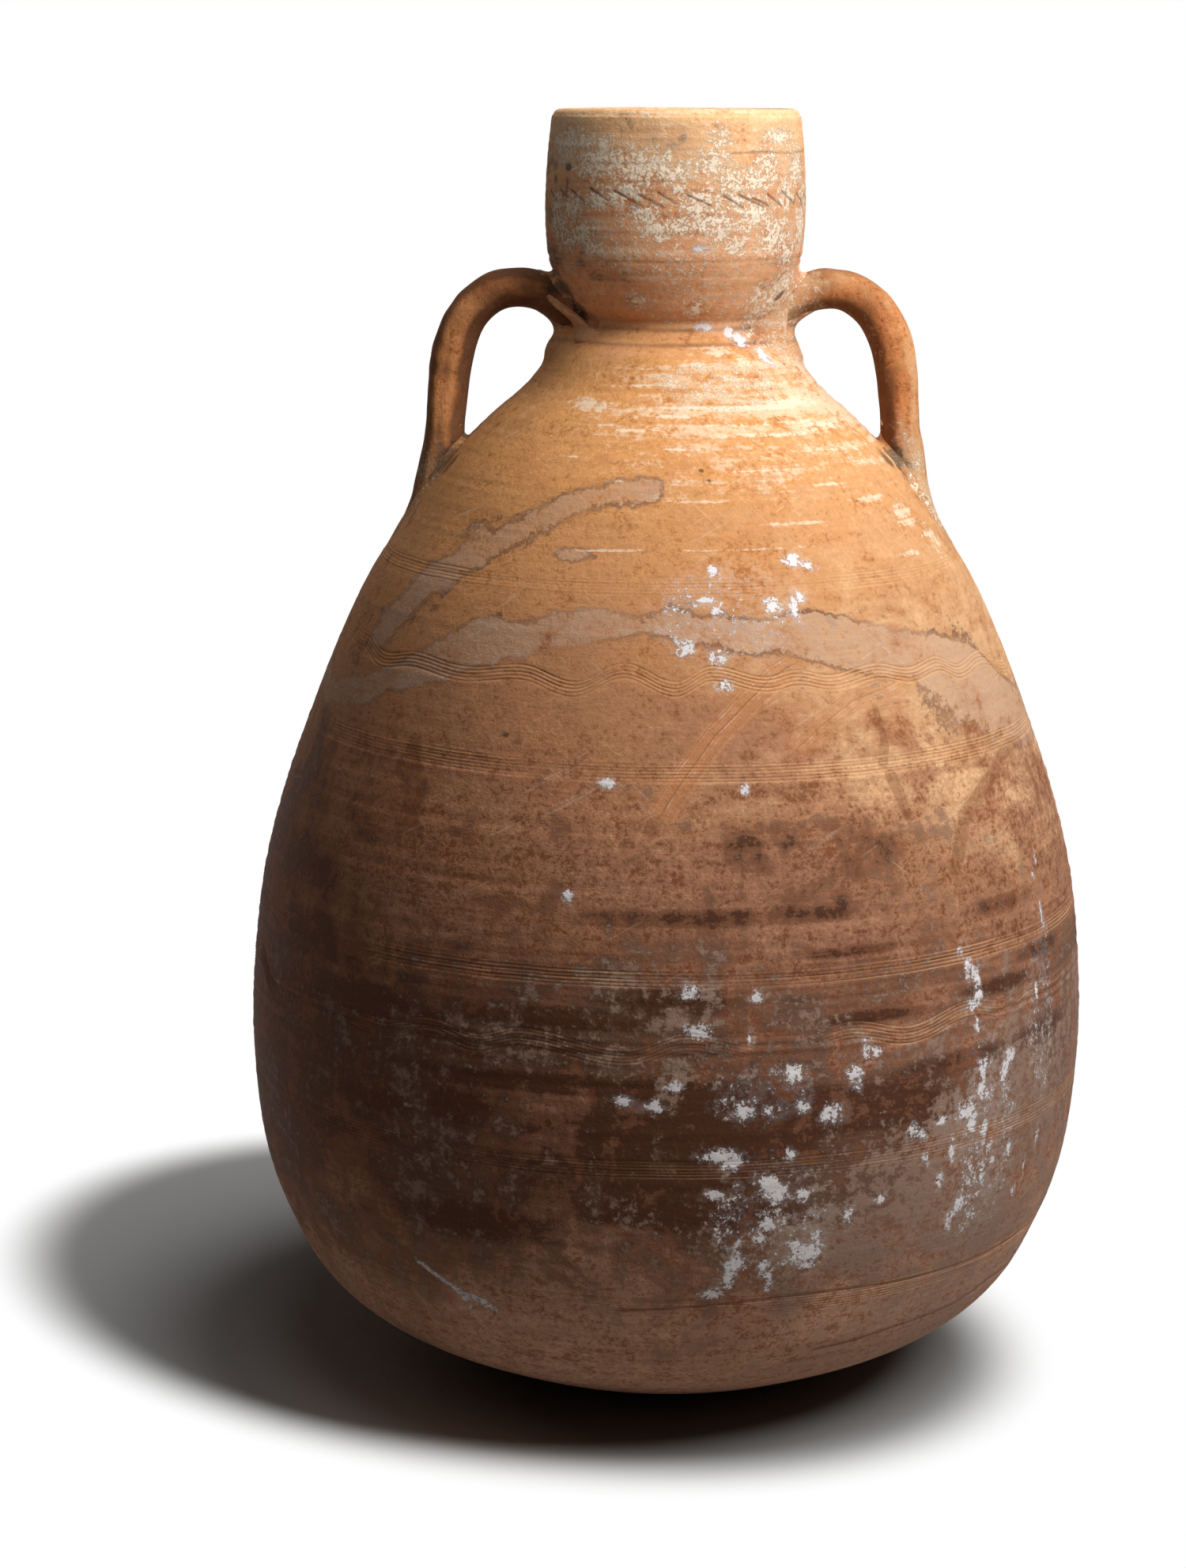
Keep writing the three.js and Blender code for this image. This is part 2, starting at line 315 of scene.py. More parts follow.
def relief(turn, z, level):
    """How far the outer face stands out from the plain outline, in millimetres."""
    out = 0.5 * ripple(turn + 0.15 * z, 101, 5) * span(z, 20, 120, 430, 500)
    throwing = 0.06 + 0.12 * span(z, 140, 200, 290, 330)
    throwing += 0.16 * span(z, 425, 445, 484, 492) * (0.1 + 0.9 * ease(turn, -40, 20))
    coil = z + 1.5 * turn / 360 + 0.5 * ripple(turn, 102, 6)
    rings = np.zeros_like(z)
    draw = np.random.default_rng(103)
    for length in (3.7, 4.6, 5.9, 7.7, 12.1):
        start = draw.uniform(0, 2 * math.pi) + 0.9 * ripple(turn, 104 + int(length), 5)
        rings += np.cos(2 * math.pi * coil / length + start)
    out += throwing * rings / 2.2 * ease(z, 8, 40)
    out -= comb_lines(turn, level)
    for path, half, deep in SCRAPES:
        far, gone, _ = away(turn, z, path)
        trench = fade(far, half * 0.55, half) - 0.35 * bell(far - half, 0.9)
        out -= deep * span(gone, 0, 0.12, 0.86, 1) * trench
    for ends in strokes_round():
        far, gone, _ = away(turn, z, ends, LINE_REACH)
        out -= 0.42 * (1 - 0.6 * gone) * bell(far, 0.42)
    out -= 0.55 * bell(z - 532.4 - 0.5 * ripple(turn, 110, 4), 1.1)
    for mark, deep in ((505.6, 0.4), (501.6, 0.6), (494.6, 0.55)):
        out -= deep * bell(z - mark - 0.4 * ripple(turn, int(mark), 4), 0.8)
    for path, half, strength in HAIR_LINES:
        out -= 0.5 * strength * bell(away(turn, z, path, LINE_REACH)[0], half)
    return out


# How close a point lies to a face that it belongs to, and which points are moved at all
ON_FACE = 0.02
AXIS_REACH = 20
LIP_ZONE = RIM - 8


def dress_wall(points):
    """Moves a section's points from the turned shape to the hand-made one, and gives their fields."""
    radius = np.hypot(points[:, 0], points[:, 1])
    turn = np.degrees(np.arctan2(points[:, 0], -points[:, 1]))
    level = points[:, 2].copy()
    outer = np.abs(radius - outer_radius(level)) < ON_FACE
    outer |= level > RIM - LIP_RADIUS + 0.01
    outer &= radius > OUTLINE[0][0] + 0.5
    z = level + warp(turn, level) * ease(radius, AXIS_REACH, 2 * AXIS_REACH)
    moved = outer_radius(z) - outer_radius(level)
    wall = (radius > AXIS_REACH) & (level < LIP_ZONE)
    radius_new = radius + np.where(wall, moved, 0)
    top = fade(level, RIM - LIP_RADIUS, RIM)
    radius_new += np.where(outer, relief(turn, z, level) * (0.25 + 0.75 * top), 0)
    inner = (np.abs(radius - inner_radius(level)) < ON_FACE) & ~outer
    rings = 0.5 * np.cos(2 * math.pi * (level + 3 * turn / 360) / 9.5)
    rings += 0.3 * np.cos(2 * math.pi * level / 15.7)
    radius_new += np.where(inner & wall, rings, 0)
    z = np.where(level > RIM - 1.5, z + 0.35 * ripple(turn, 120, 6), z)
    radius_new *= np.where(radius > AXIS_REACH, 1 + 0.0035 * np.cos(2 * np.radians(turn - 35)), 1)
    heading = np.radians(turn)
    points[:, 0] = radius_new * np.sin(heading) + LEAN * (z - LEAN_CENTRE)
    points[:, 1] = -radius_new * np.cos(heading)
    points[:, 2] = z
    return wall_marks(turn, z, level)


# Where the finish changes over the outer face, as azimuth in degrees and height in millimetres
TIDE_TOP = [
    (-180, 372), (-140, 384), (-100, 366), (-75, 340), (-60, 348), (-52, 356), (-48, 362), (-44, 368),
    (-41, 372), (-37, 379), (-33, 381), (-30, 379.5), (-24, 381), (-21.5, 386), (-12, 387), (-5, 385.5),
    (0, 389), (5, 386), (8.5, 387), (13, 384), (17.5, 383.5), (21.5, 386), (26, 387.5), (29, 384),
    (34.5, 381.5), (40, 377), (46, 374), (52, 371), (60, 366), (66, 358), (72, 346), (80, 336), (100, 350),
    (140, 381),
]
TIDE_FOOT = [
    (-180, 360), (-140, 371), (-100, 349), (-75, 330), (-60, 334), (-52, 343), (-46.5, 349), (-40, 352),
    (-34, 361), (-28.5, 364), (-25, 366), (-22, 371), (-18, 372), (-12.5, 374), (-4.5, 379), (0, 376.5),
    (3, 374.5), (9, 372), (12, 369.5), (17.5, 370), (20.5, 368.5), (26, 364.5), (28.5, 362), (37, 356),
    (42, 355), (48, 346), (56, 330), (63, 322), (70, 313), (80, 312), (100, 333), (140, 368),
]
SECOND_TIDE = [
    (-5, 436), (-14, 434.5), (-22, 430), (-29, 423), (-36, 414), (-42, 406), (-52, 392), (-60, 368),
]
DRIPS = [
    ([(58, 310), (54, 305), (50, 299), (47, 294), (45, 284), (43, 274)], 4.2),
    ([(34, 344), (34.6, 332), (33.5, 322)], 2.6),
    ([(34.5, 316), (35.5, 307), (36, 299)], 3.2),
    ([(60, 314), (66, 318), (70, 316)], 3.4),
    ([(53, 332), (52.5, 323), (54, 318)], 2.2),
    ([(70, 306), (71, 296), (70, 286)], 3.5),
    ([(-42, 322), (-40, 306), (-38.5, 290)], 6),
    ([(27, 287), (26.5, 279), (27.5, 272)], 2.5),
    ([(-2.2, 298), (-1.4, 304), (0.6, 311)], 3.2),
    ([(-50, 290), (-44, 287), (-38, 281), (-34, 276), (-37, 270), (-32, 268), (-29, 275), (-24, 274)], 1.3),
    ([(-24, 274), (-20.5, 268), (-17, 264), (-14.8, 259)], 1.2),
    ([(-62, 156), (-54.5, 146), (-47.6, 140), (-41.4, 135)], 1.6),
]
# Strength of the dark soak by height: stains, darkest on the lower belly; painted shade on the side away from
# the light is added to the same mark in wall_marks
SOAK_AND_SHADE_BY_HEIGHT = [
    (0, 0.14), (40, 0.16), (75, 0.26), (95, 0.56), (130, 0.74), (185, 0.78), (215, 0.66), (240, 0.5),
    (262, 0.42), (300, 0.3), (325, 0.16), (345, 0.1), (400, 0.03), (470, 0), (500, 0.12), (526, 0.16),
    (540, 0.1), (600, 0.02),
]
FILM_BY_HEIGHT = [
    (0, 0.3), (30, 0.42), (70, 0.5), (110, 0.56), (170, 0.5), (215, 0.44), (250, 0.36), (290, 0.22),
    (340, 0.08),
]
# Spots from here on are azimuth, height, half width and half height
DARK_SPOTS = [
    (20, 289, 48, 14), (18, 270, 40, 8), (8, 150, 90, 36), (-20, 212, 50, 12), (32, 174, 40, 18),
    (66, 196, 26, 44),
]
DARK_STREAKS = [
    (26, 245.5, 30, 2.4), (27.5, 216.5, 22, 2.8), (50, 219, 26, 3.4), (0, 227, 26, 6), (14, 184, 60, 4.5),
    (4, 170, 56, 8), (16, 172, 46, 7), (2, 147.5, 24, 4), (5, 133, 42, 8), (-27, 175, 14, 7),
    (-27, 123, 34, 8), (10, 262, 60, 4), (42, 190, 30, 5), (60, 190, 30, 6),
    (28, 176, 34, 5), (-44, 214, 30, 6), (-12, 218, 40, 4),
    (60, 228, 20, 4), (-14, 190, 60, 4), (-40, 170, 34, 4),
    (-54, 236, 30, 10), (-60, 262, 34, 12), (100, 220, 90, 14), (150, 180, 120, 18), (-110, 200, 110, 20),
    (-140, 130, 90, 16), (52, 254, 20, 5),
]
FLAKES = [
    (3.2, 231, 4, 4), (4, 214, 6, 4), (11.5, 229, 3.2, 3), (10.8, 212, 2, 4), (16.5, 196, 6, 4.5),
    (10, 180, 5, 7), (13, 180, 3.4, 3), (17.5, 180, 4, 3.5), (21.5, 176, 6, 5.5), (24.5, 193, 4.5, 5),
    (26.3, 202, 2.4, 7), (27.5, 201, 3, 2.6), (25, 188, 2, 4), (7, 160, 9, 3.4), (8.8, 157, 6, 3.2),
    (16, 159, 3.2, 3.6), (13.5, 146.5, 5.5, 5), (14.7, 142, 7, 6), (18, 140, 2.8, 5), (6.5, 142, 4, 3),
    (13.2, 128, 2.4, 6), (12.6, 121, 3, 3.4), (20.2, 118, 2.6, 5), (18.8, 112.5, 8, 6),
    (17.4, 117, 5, 3.4), (19, 106.5, 5, 4), (9.6, 108.5, 6, 4), (8.8, 102, 3, 5), (6.8, 93.5, 6, 3.4),
    (13.8, 103, 4, 3), (14.2, 97.5, 2.4, 4), (13.2, 108, 3, 3.4), (24.2, 128, 3, 5.5), (29, 133.5, 4, 3),
    (33.4, 163, 4, 4.4), (34.6, 160, 3, 3), (38, 165, 4, 2.4), (42.4, 167, 7, 5), (43.4, 160, 3, 5.5),
    (40, 149, 2.2, 7), (35.6, 148, 2.4, 4.4), (38.2, 137, 2.6, 4.4), (42.4, 122, 2.6, 5),
    (41, 115.5, 3, 6.5), (46.2, 156, 2.2, 6), (47.4, 146, 2, 6), (48.2, 139, 3, 5), (46.4, 135, 2.2, 6),
    (52, 142, 1.8, 5), (45.4, 183, 2.4, 8), (45, 175, 3, 5), (46.8, 171.5, 2, 4), (49.8, 181, 3.4, 6),
    (51.4, 185.5, 3.2, 3.6), (49.4, 176, 2.4, 5), (44.2, 204.5, 1.8, 6), (43.8, 213.5, 5, 3.6),
    (44.8, 217.5, 3, 3), (42, 238.5, 2.2, 4), (43, 232, 2.8, 7.5), (44.6, 225.5, 2.4, 5),
    (62, 243, 1.8, 8), (62.8, 236, 1.8, 6), (58.4, 210, 1.6, 5), (57, 128, 1.8, 6), (55, 118, 2, 4),
    (60, 140, 1.6, 6), (8, 404, 2.6, 2.6), (6.6, 391.5, 5, 2.2), (8, 387.5, 2.6, 3), (2.6, 372.5, 4.4, 4),
    (8, 368.6, 5, 3.4), (8.6, 357.5, 4, 3), (18.6, 389, 4.4, 4.6), (22.6, 389.5, 3, 6.5), (24, 392, 3, 3),
    (24.6, 407, 5, 3), (27.4, 404, 4.4, 2.6), (11, 315, 2, 4), (63, 267, 1.6, 4), (61.4, 262, 1.4, 3.4),
    (-13, 271, 2.6, 3.4), (-8.6, 317, 5, 2.4), (18.4, 503, 7, 2.4), (10.4, 538.6, 4.2, 2),
    (-18.6, 557, 3.6, 1.8), (40, 497, 5, 4), (48, 490, 4, 5), (35, 500, 2.6, 3), (1.4, 191, 4, 2.4),
    (-5, 184, 4.4, 3), (-1.4, 182, 5, 3), (165, 150, 7, 9), (172, 132, 5, 7), (150, 170, 4, 8),
    (-150, 120, 6, 5), (-120, 160, 3, 6), (120, 110, 4, 6), (-175, 388, 5, 3),
]
HAZE = [
    (2, 196, 24, 12), (3, 230, 22, 10), (-4, 128, 26, 16), (40, 160, 50, 26), (18, 118, 30, 20),
    (170, 150, 60, 40),
]
# Where small flakes and specks of lime lie scattered
SPECKS = [(10, 513, 36, 14), (0, 545, 70, 30), (20, 478, 40, 14)]
SCATTER = [(47, 150, 34, 74), (60, 200, 22, 60), (14, 130, 40, 44), (12, 186, 34, 20), (10, 385, 50, 30)]
LIME = [
    (-58, 584, 16, 9), (-40, 577, 12, 9), (-33, 583, 6, 5), (-17, 574, 13, 9), (-24, 564, 12, 5),
    (-36, 560, 9, 4), (-14, 555, 8, 4), (-44, 545, 10, 6), (-38, 538, 6, 4), (2, 549, 7, 5),
    (16, 551, 13, 7), (20, 545, 6, 5), (8, 556, 8, 3.4), (15, 577, 9, 6), (20, 587, 5, 5),
    (36, 554, 12, 9), (49, 544, 13, 10), (36, 569, 9, 6), (56, 562, 8, 8), (60, 535, 8, 6),
    (1, 565, 4, 4), (27, 560, 6, 5), (-6, 545, 5, 3), (64, 522, 11, 8), (48, 516, 7, 7), (72, 548, 9, 12),
    (-64, 558, 8, 8), (-5, 577, 5, 5), (28, 540, 6, 5), (12, 512, 4, 5), (-20, 515, 5, 4),
    (-62, 548, 10, 8), (-50, 556, 9, 7), (-56, 541, 8, 5), (-8, 548, 8, 6),
    (-2, 572, 8, 6), (10, 562, 10, 4), (-26, 577, 9, 7), (-46, 586, 9, 5), (24, 568, 9, 7),
    (44, 575, 8, 8), (66, 575, 9, 10), (52, 588, 10, 4), (75, 560, 8, 8), (160, 560, 20, 14),
    (-140, 575, 16, 10), (-110, 545, 12, 10),
]
WIPES = [
    (8, 487, 16, 1.4), (-8, 478, 20, 1.2), (24, 480, 22, 1.6), (28, 468.5, 60, 2), (34, 461.8, 50, 1.5),
    (30, 457, 44, 1.3), (40, 450, 40, 1.2), (-12, 459.5, 16, 1), (-2, 465, 26, 1.2), (46, 470, 26, 3),
    (22, 492, 16, 3), (34, 488, 12, 4), (20, 443, 20, 0.9), (40, 436, 26, 1), (-14, 439, 10, 1.2),
    (-20, 462, 14, 1), (54, 458, 20, 4), (60, 446, 22, 3), (8, 431, 20, 0.9), (30, 421, 24, 1),
    (16, 411.5, 44, 0.9), (-12, 411, 26, 0.8), (62, 420, 16, 7), (70, 408, 14, 9), (56, 404, 14, 3),
    (-28, 449, 18, 1), (52, 428, 18, 2), (-30, 470, 14, 5), (2, 452, 14, 0.9), (44, 478, 18, 2),
    (140, 460, 80, 3), (-130, 455, 90, 2),
]
TIDE_PATCHES = [(-44, 411, 11, 9), (-20, 409, 8, 3), (55, 349, 26, 20), (60, 334, 14, 14)]
# Dark spots: specks of dirt, darker crooks by the lower handle roots, and painted shade in the recess by the
# left handle's upper root
DIRT_AND_SHADE_SPOTS = [
    (-84, 436, 13, 11), (76, 442, 8, 7), (-77, 438, 6, 8), (-88, 452, 8, 8), (-74, 519, 12, 6),
    (7.5, 444, 2, 1.4), (9, 440, 1.8, 1.2), (-25.5, 334, 3, 1.6), (-55, 574, 4, 3), (-66, 568, 3, 4),
    (90, 436, 12, 14),
]
BRANCHED_SMEAR = [
    ([(-35.5, 96), (-32, 89), (-29, 84), (-26.4, 80), (-23.6, 76.5)], 1.4),
    ([(-30.5, 86), (-28.6, 80), (-28.2, 76)], 1.1),
    ([(-28.4, 84), (-25.6, 82), (-24.6, 79.5)], 0.8),
]


def course(value, table, period=None):
    """The table's second number where its first is the value."""
    spots = np.array(table, float)
    return np.interp(value, spots[:, 0], spots[:, 1], period=period)


def strips(turn, z, spots):
    """As islands, but long flat spots wander a little up and down."""
    return islands(turn, z + 1.3 * ripple(turn, 130, 16, 0.5), spots)


def wall_marks(turn, z, level):
    """The fields that the finish reads, one value for each point."""

    def there(spots):
        return np.clip(islands(turn, z, spots), 0, 1)

    def widened(field, lines):
        for path, half in lines:
            field = np.maximum(field, 1 - away(turn, z, path)[0] / half)
        return field

    # The azimuths where the light falls; painted light and shade on the collar, neck and rim follow them
    painted_lit_side = span(turn, -14, 22, 100, 140)
    streaks = strips(turn, z, DARK_STREAKS)
    # Dark soak stains by height, in streaks and in spots; the lines marked below add painted shade and painted
    # light to the same mark
    soak = course(z, SOAK_AND_SHADE_BY_HEIGHT)
    soak -= 0.2 * span(turn, 28, 60, 85, 120) * ease(z, 190, 240)
    # Painted shade: darker on the left side, away from the light
    soak += 0.14 * span(turn, -140, -100, -60, -24) * span(z, 60, 160, 380, 470)
    soak += 0.26 * span(turn, -130, -100, -80, -56) * span(z, 50, 120, 330, 420)
    soak += 0.46 * np.clip(streaks + 0.4, 0, 0.9)
    soak += 0.2 * ease(strips(turn, z, DARK_SPOTS), -0.5, 0.5)
    soak += 0.2 * ease(strips(turn, z, DARK_SPOTS[:1]), -0.3, 0.4)
    # Painted shade: darker on the left of the neck and collar, at the rim away from the lit side, and partly
    # under the two handle roots
    soak += 0.2 * fade(turn, -56, 6) * span(z, 496, 506, 574, 590)
    soak += 0.2 * span(turn, -130, -100, -78, -50) * ease(z, 500, 510)
    soak += 0.2 * bell(z - 597, 2.5) * (1 - painted_lit_side)
    soak += 0.45 * there([(54, 503, 12, 9), (-70, 506, 12, 10)])
    # Painted light: lighter on the lit side of the collar
    soak -= 0.3 * painted_lit_side * ease(z, 560, 575)

    film = course(z, FILM_BY_HEIGHT)
    film += 0.38 * span(turn, 0, 44, 90, 130) * fade(z, 190, 240)
    film -= 0.45 * np.minimum(there([(4, 166, 70, 30), (34, 172, 36, 26)]), 0.7)
    # Painted shade: less pale film on the shaded left
    film -= 0.12 * span(turn, -130, -90, -44, -4)
    film -= 0.4 * np.clip(streaks + 0.2, 0, 0.8)

    tide = np.minimum(course(turn, TIDE_TOP, 360) - z, z - course(turn, TIDE_FOOT, 360)) / 9
    far, gone, _ = away(turn, z, SECOND_TIDE)
    tide = np.maximum(np.clip(tide, -1, 1), 0.62 * (1 - far / (5.5 + 2.5 * gone)))
    tide = np.maximum(tide, 0.6 * islands(turn, z, TIDE_PATCHES))

    scattered = 0.86 * ease(islands(turn, z, SCATTER), 0, 0.5) - 1
    specks = 0.74 * ease(islands(turn, z, SPECKS), 0, 0.4) - 1
    scrape, across = np.zeros((2, len(z)))
    for path, half, deep in SCRAPES[:2]:
        far, gone, side = away(turn, z, path)
        here = fade(far, half * 0.8, half * 1.3) * span(gone, 0, 0.1, 0.88, 1)
        scrape = np.maximum(scrape, here * min(1, deep / 0.35))
        across = np.where(far < 14, far * side, across)

    clean = 0.5 + 0.5 * ease(turn, -35, 25) * (1 - 0.6 * ease(turn, 90, 130))
    # Paler clay on the right of the upper body, partly painted highlight, and painted light on the lit side of
    # the collar and neck
    pale = span(turn, -35, 55, 90, 140) * ease(z, 215, 330)
    pale = np.maximum(pale, painted_lit_side * (0.9 * ease(z, 556, 568) + 0.75 * span(z, 494, 500, 552, 562)))
    wash = span(z, 405, 470, 484, 500) * (0.3 + 0.5 * span(turn, -50, 25, 110, 150))
    return {
        "soak": np.clip(soak, -0.3, 1),
        "film": np.clip(film, 0, 1),
        "tide": tide,
        "drip": widened(np.full(len(z), -1.0), DRIPS),
        "flake": widened(np.maximum(islands(turn, z, FLAKES), scattered), BRANCHED_SMEAR),
        "haze": np.minimum(there(HAZE) + 0.5 * there([(-30, 84, 16, 9)]), 1),
        "lime": np.maximum(islands(turn, z, LIME), specks),
        "wipe": strips(turn, z, WIPES),
        "comb": np.clip(comb_lines(turn, level) / 0.4, 0, 1) * clean,
        "scrape": scrape,
        "across": across,
        "pale": pale,
        "dirt": there(DIRT_AND_SHADE_SPOTS),
        "wash": np.maximum(wash, 0.45 * ease(z, 502, 520)),
        "cut": cuts(turn, z),
    }


def cuts(turn, z):
    """Thin cut lines on the collar and neck that hold dark dirt."""
    depth = np.zeros(len(z))
    for ends in strokes_round():
        far, gone, _ = away(turn, z, ends, LINE_REACH)
        depth = np.maximum(depth, (1 - 0.3 * gone) * bell(far, 0.62))
    for path, half, strength in HAIR_LINES:
        depth = np.maximum(depth, strength * bell(away(turn, z, path, LINE_REACH)[0], half))
    for height, dark, half in ((531.4, 0.6, 0.8), (505.6, 0.4, 0.8), (501.4, 0.95, 1.0), (494.8, 0.8, 1.0)):
        line = z - height - 0.4 * ripple(turn, int(height), 4)
        depth = np.maximum(depth, dark * (0.7 + 0.4 * ripple(turn, 7, 9)) * bell(line, half))
    return np.clip(depth, 0, 1)


# Node trees
class Feed:
    """A socket that takes part in sums, for values that change over a surface."""

    def __init__(self, recipe, socket):
        self.recipe = recipe
        self.socket = socket

    def sum(self, operation, left, right):
        return self.recipe.node("ShaderNodeMath", {"operation": operation}, {0: left, 1: right})

    def __add__(self, other):
        return self.sum("ADD", self, other)

    def __sub__(self, other):
        return self.sum("SUBTRACT", self, other)

    def __rsub__(self, other):
        return self.sum("SUBTRACT", other, self)

    def __mul__(self, other):
        return self.sum("MULTIPLY", self, other)

    def __abs__(self):
        return self.sum("MAXIMUM", self, self * -1)

    __radd__, __rmul__ = __add__, __mul__

    def rise(self, low, high):
        """0 below low and 1 above high, with a soft step between them."""
        return self.recipe.node(
            "ShaderNodeMapRange", {"interpolation_type": "SMOOTHSTEP"},
            {"Value": self, "From Min": low, "From Max": high},
        )


class Recipe:
    """The node tree of one finish, which reads Object coordinates and the piece's own attributes."""

    def __init__(self, name, shelf=bpy.data.materials):
        self.made = shelf.new(name)
        self.made.use_nodes = True
        self.tree = self.made.node_tree
        self.tree.nodes.clear()
        self.place = self.node("ShaderNodeTexCoord", {}, {}, "Object")

    def node(self, kind, settings, feeds, outlet=0):
        made = self.tree.nodes.new(kind)
        for key, value in settings.items():
            if key == "stops":
                ramp = made.color_ramp
                while len(ramp.elements) < len(value):
                    ramp.elements.new(0.5)
                for stop, (position, colour) in zip(ramp.elements, value):
                    stop.position = position
                    stop.color = (*colour, 1)
            else:
                setattr(made, key, value)
        for key, value in feeds.items():
            if isinstance(value, Feed):
                self.tree.links.new(value.socket, made.inputs[key])
            elif isinstance(value, tuple) and len(value) == 3 and made.inputs[key].type == "RGBA":
                made.inputs[key].default_value = (*value, 1)
            else:
                made.inputs[key].default_value = value
        return Feed(self, made.outputs[outlet])

    def mark(self, name):
        return self.node("ShaderNodeAttribute", {"attribute_name": name}, {}, "Fac")

    def vector(self, operation, left, right=(0, 0, 0), outlet=0):
        return self.node("ShaderNodeVectorMath", {"operation": operation}, {0: left, 1: right}, outlet)

    def grain(self, scale, stretch=(1, 1, 1), detail=4, rough=0.55, bend=0):
        """Noise of the clay, centred on 0."""
        return self.node(
            "ShaderNodeTexNoise", {},
            {
                "Vector": self.vector("MULTIPLY", self.place, stretch), "Scale": scale, "Detail": detail,
                "Roughness": rough, "Distortion": bend,
            },
        ) - 0.5

    def scratches(self, lean):
        """Fine lines that slant over the front and back of the jar."""
        turned = self.node(
            "ShaderNodeVectorRotate", {"rotation_type": "Y_AXIS"}, {"Vector": self.place, "Angle": lean},
        )
        spot = self.vector("MULTIPLY", turned, (22, 22, 520))
        return self.node(
            "ShaderNodeTexNoise", {}, {"Vector": spot, "Scale": 1, "Detail": 3, "Roughness": 0.6},
        )

    def seen(self):
        """1 for rays that come from the camera or off a shiny face."""
        rays = [self.node("ShaderNodeLightPath", {}, {}, f"Is {kind} Ray") for kind in ("Camera", "Glossy")]
        return rays[0] + rays[1]

    def paint(self, mask, colour, way="MIX"):
        """Lays a colour over what is there; 6 and 7 are a Mix node's colours, and 2 is the mixed one."""
        self.colour = self.node(
            "ShaderNodeMix", {"data_type": "RGBA", "blend_type": way, "clamp_factor": True},
            {0: mask, 6: self.colour, 7: colour}, 2,
        )

    def shaded(self, shade, dark, lift):
        """Darkens what is there where the shade is below 0, and lights it up where it is above."""
        self.paint((shade * -1).rise(0, 0.5), dark, "MULTIPLY")
        self.colour = self.node(
            "ShaderNodeVectorMath", {"operation": "SCALE"},
            {0: self.colour, "Scale": 1 + shade.rise(0, 0.8) * lift},
        )

    def finish(self, rough, bump, depth):
        normal = self.node("ShaderNodeBump", {}, {"Height": bump, "Distance": depth, "Strength": 1.0})
        return self.close(self.node(
            "ShaderNodeBsdfPrincipled", {},
            {"Base Color": self.colour, "Roughness": rough, "Normal": normal, "Specular IOR Level": 0.12},
        ))

    def close(self, skin, kind="ShaderNodeOutputMaterial"):
        self.tree.links.new(skin.socket, self.tree.nodes.new(kind).inputs["Surface"])
        return self.made


# Clay colour by share of the height, paler at the collar and darker low on the body; the paler top is partly
# painted light falling from above
CLAY_AND_LIGHT_BY_HEIGHT = [
    (0.0, (0.56, 0.31, 0.2)), (0.12, (0.6, 0.335, 0.22)), (0.2, (0.4, 0.195, 0.118)),
    (0.42, (0.34, 0.16, 0.09)), (0.54, (0.44, 0.205, 0.105)), (0.66, (0.6, 0.285, 0.12)),
    (0.76, (0.76, 0.36, 0.13)), (0.81, (0.74, 0.36, 0.14)), (0.85, (0.9, 0.47, 0.25)),
    (0.88, (0.84, 0.42, 0.22)), (0.93, (0.78, 0.36, 0.17)), (0.97, (0.94, 0.55, 0.29)),
    (1.0, (0.96, 0.58, 0.3)),
]
PALE_CLAY_AND_HIGHLIGHT = (0.86, 0.56, 0.31)
RED_CLAY = (0.4, 0.155, 0.068)
DARK_STAIN_AND_SHADE = (0.062, 0.021, 0.01)
DARK_RED_STAIN_AND_SHADE = (0.15, 0.058, 0.03)
FILM = (0.42, 0.275, 0.205)
TIDE_INSIDE = (0.52, 0.335, 0.235)
TIDE_EDGE = (0.22, 0.1, 0.05)
RUN_BROWN = (0.22, 0.08, 0.032)
CHALK = (0.95, 0.8, 0.62)
CRUST = (1.0, 0.84, 0.66)
FLAKE_WHITE = (0.86, 0.83, 0.85)
FRESH_CLAY = (0.74, 0.4, 0.19)
DIRT_AND_SHADE_DARK = (0.045, 0.028, 0.018)
SCRAPED = (0.56, 0.235, 0.095)
HAZE_GREY = (0.52, 0.4, 0.33)
LIME_VEIL = (0.86, 0.56, 0.34)
HANDLE_CLAY = (0.56, 0.21, 0.075)
HANDLE_PALE = (0.76, 0.34, 0.13)
HANDLE_WORN_AND_SHADE = (0.1, 0.042, 0.022)
HANDLE_VEIL = (0.78, 0.52, 0.31)


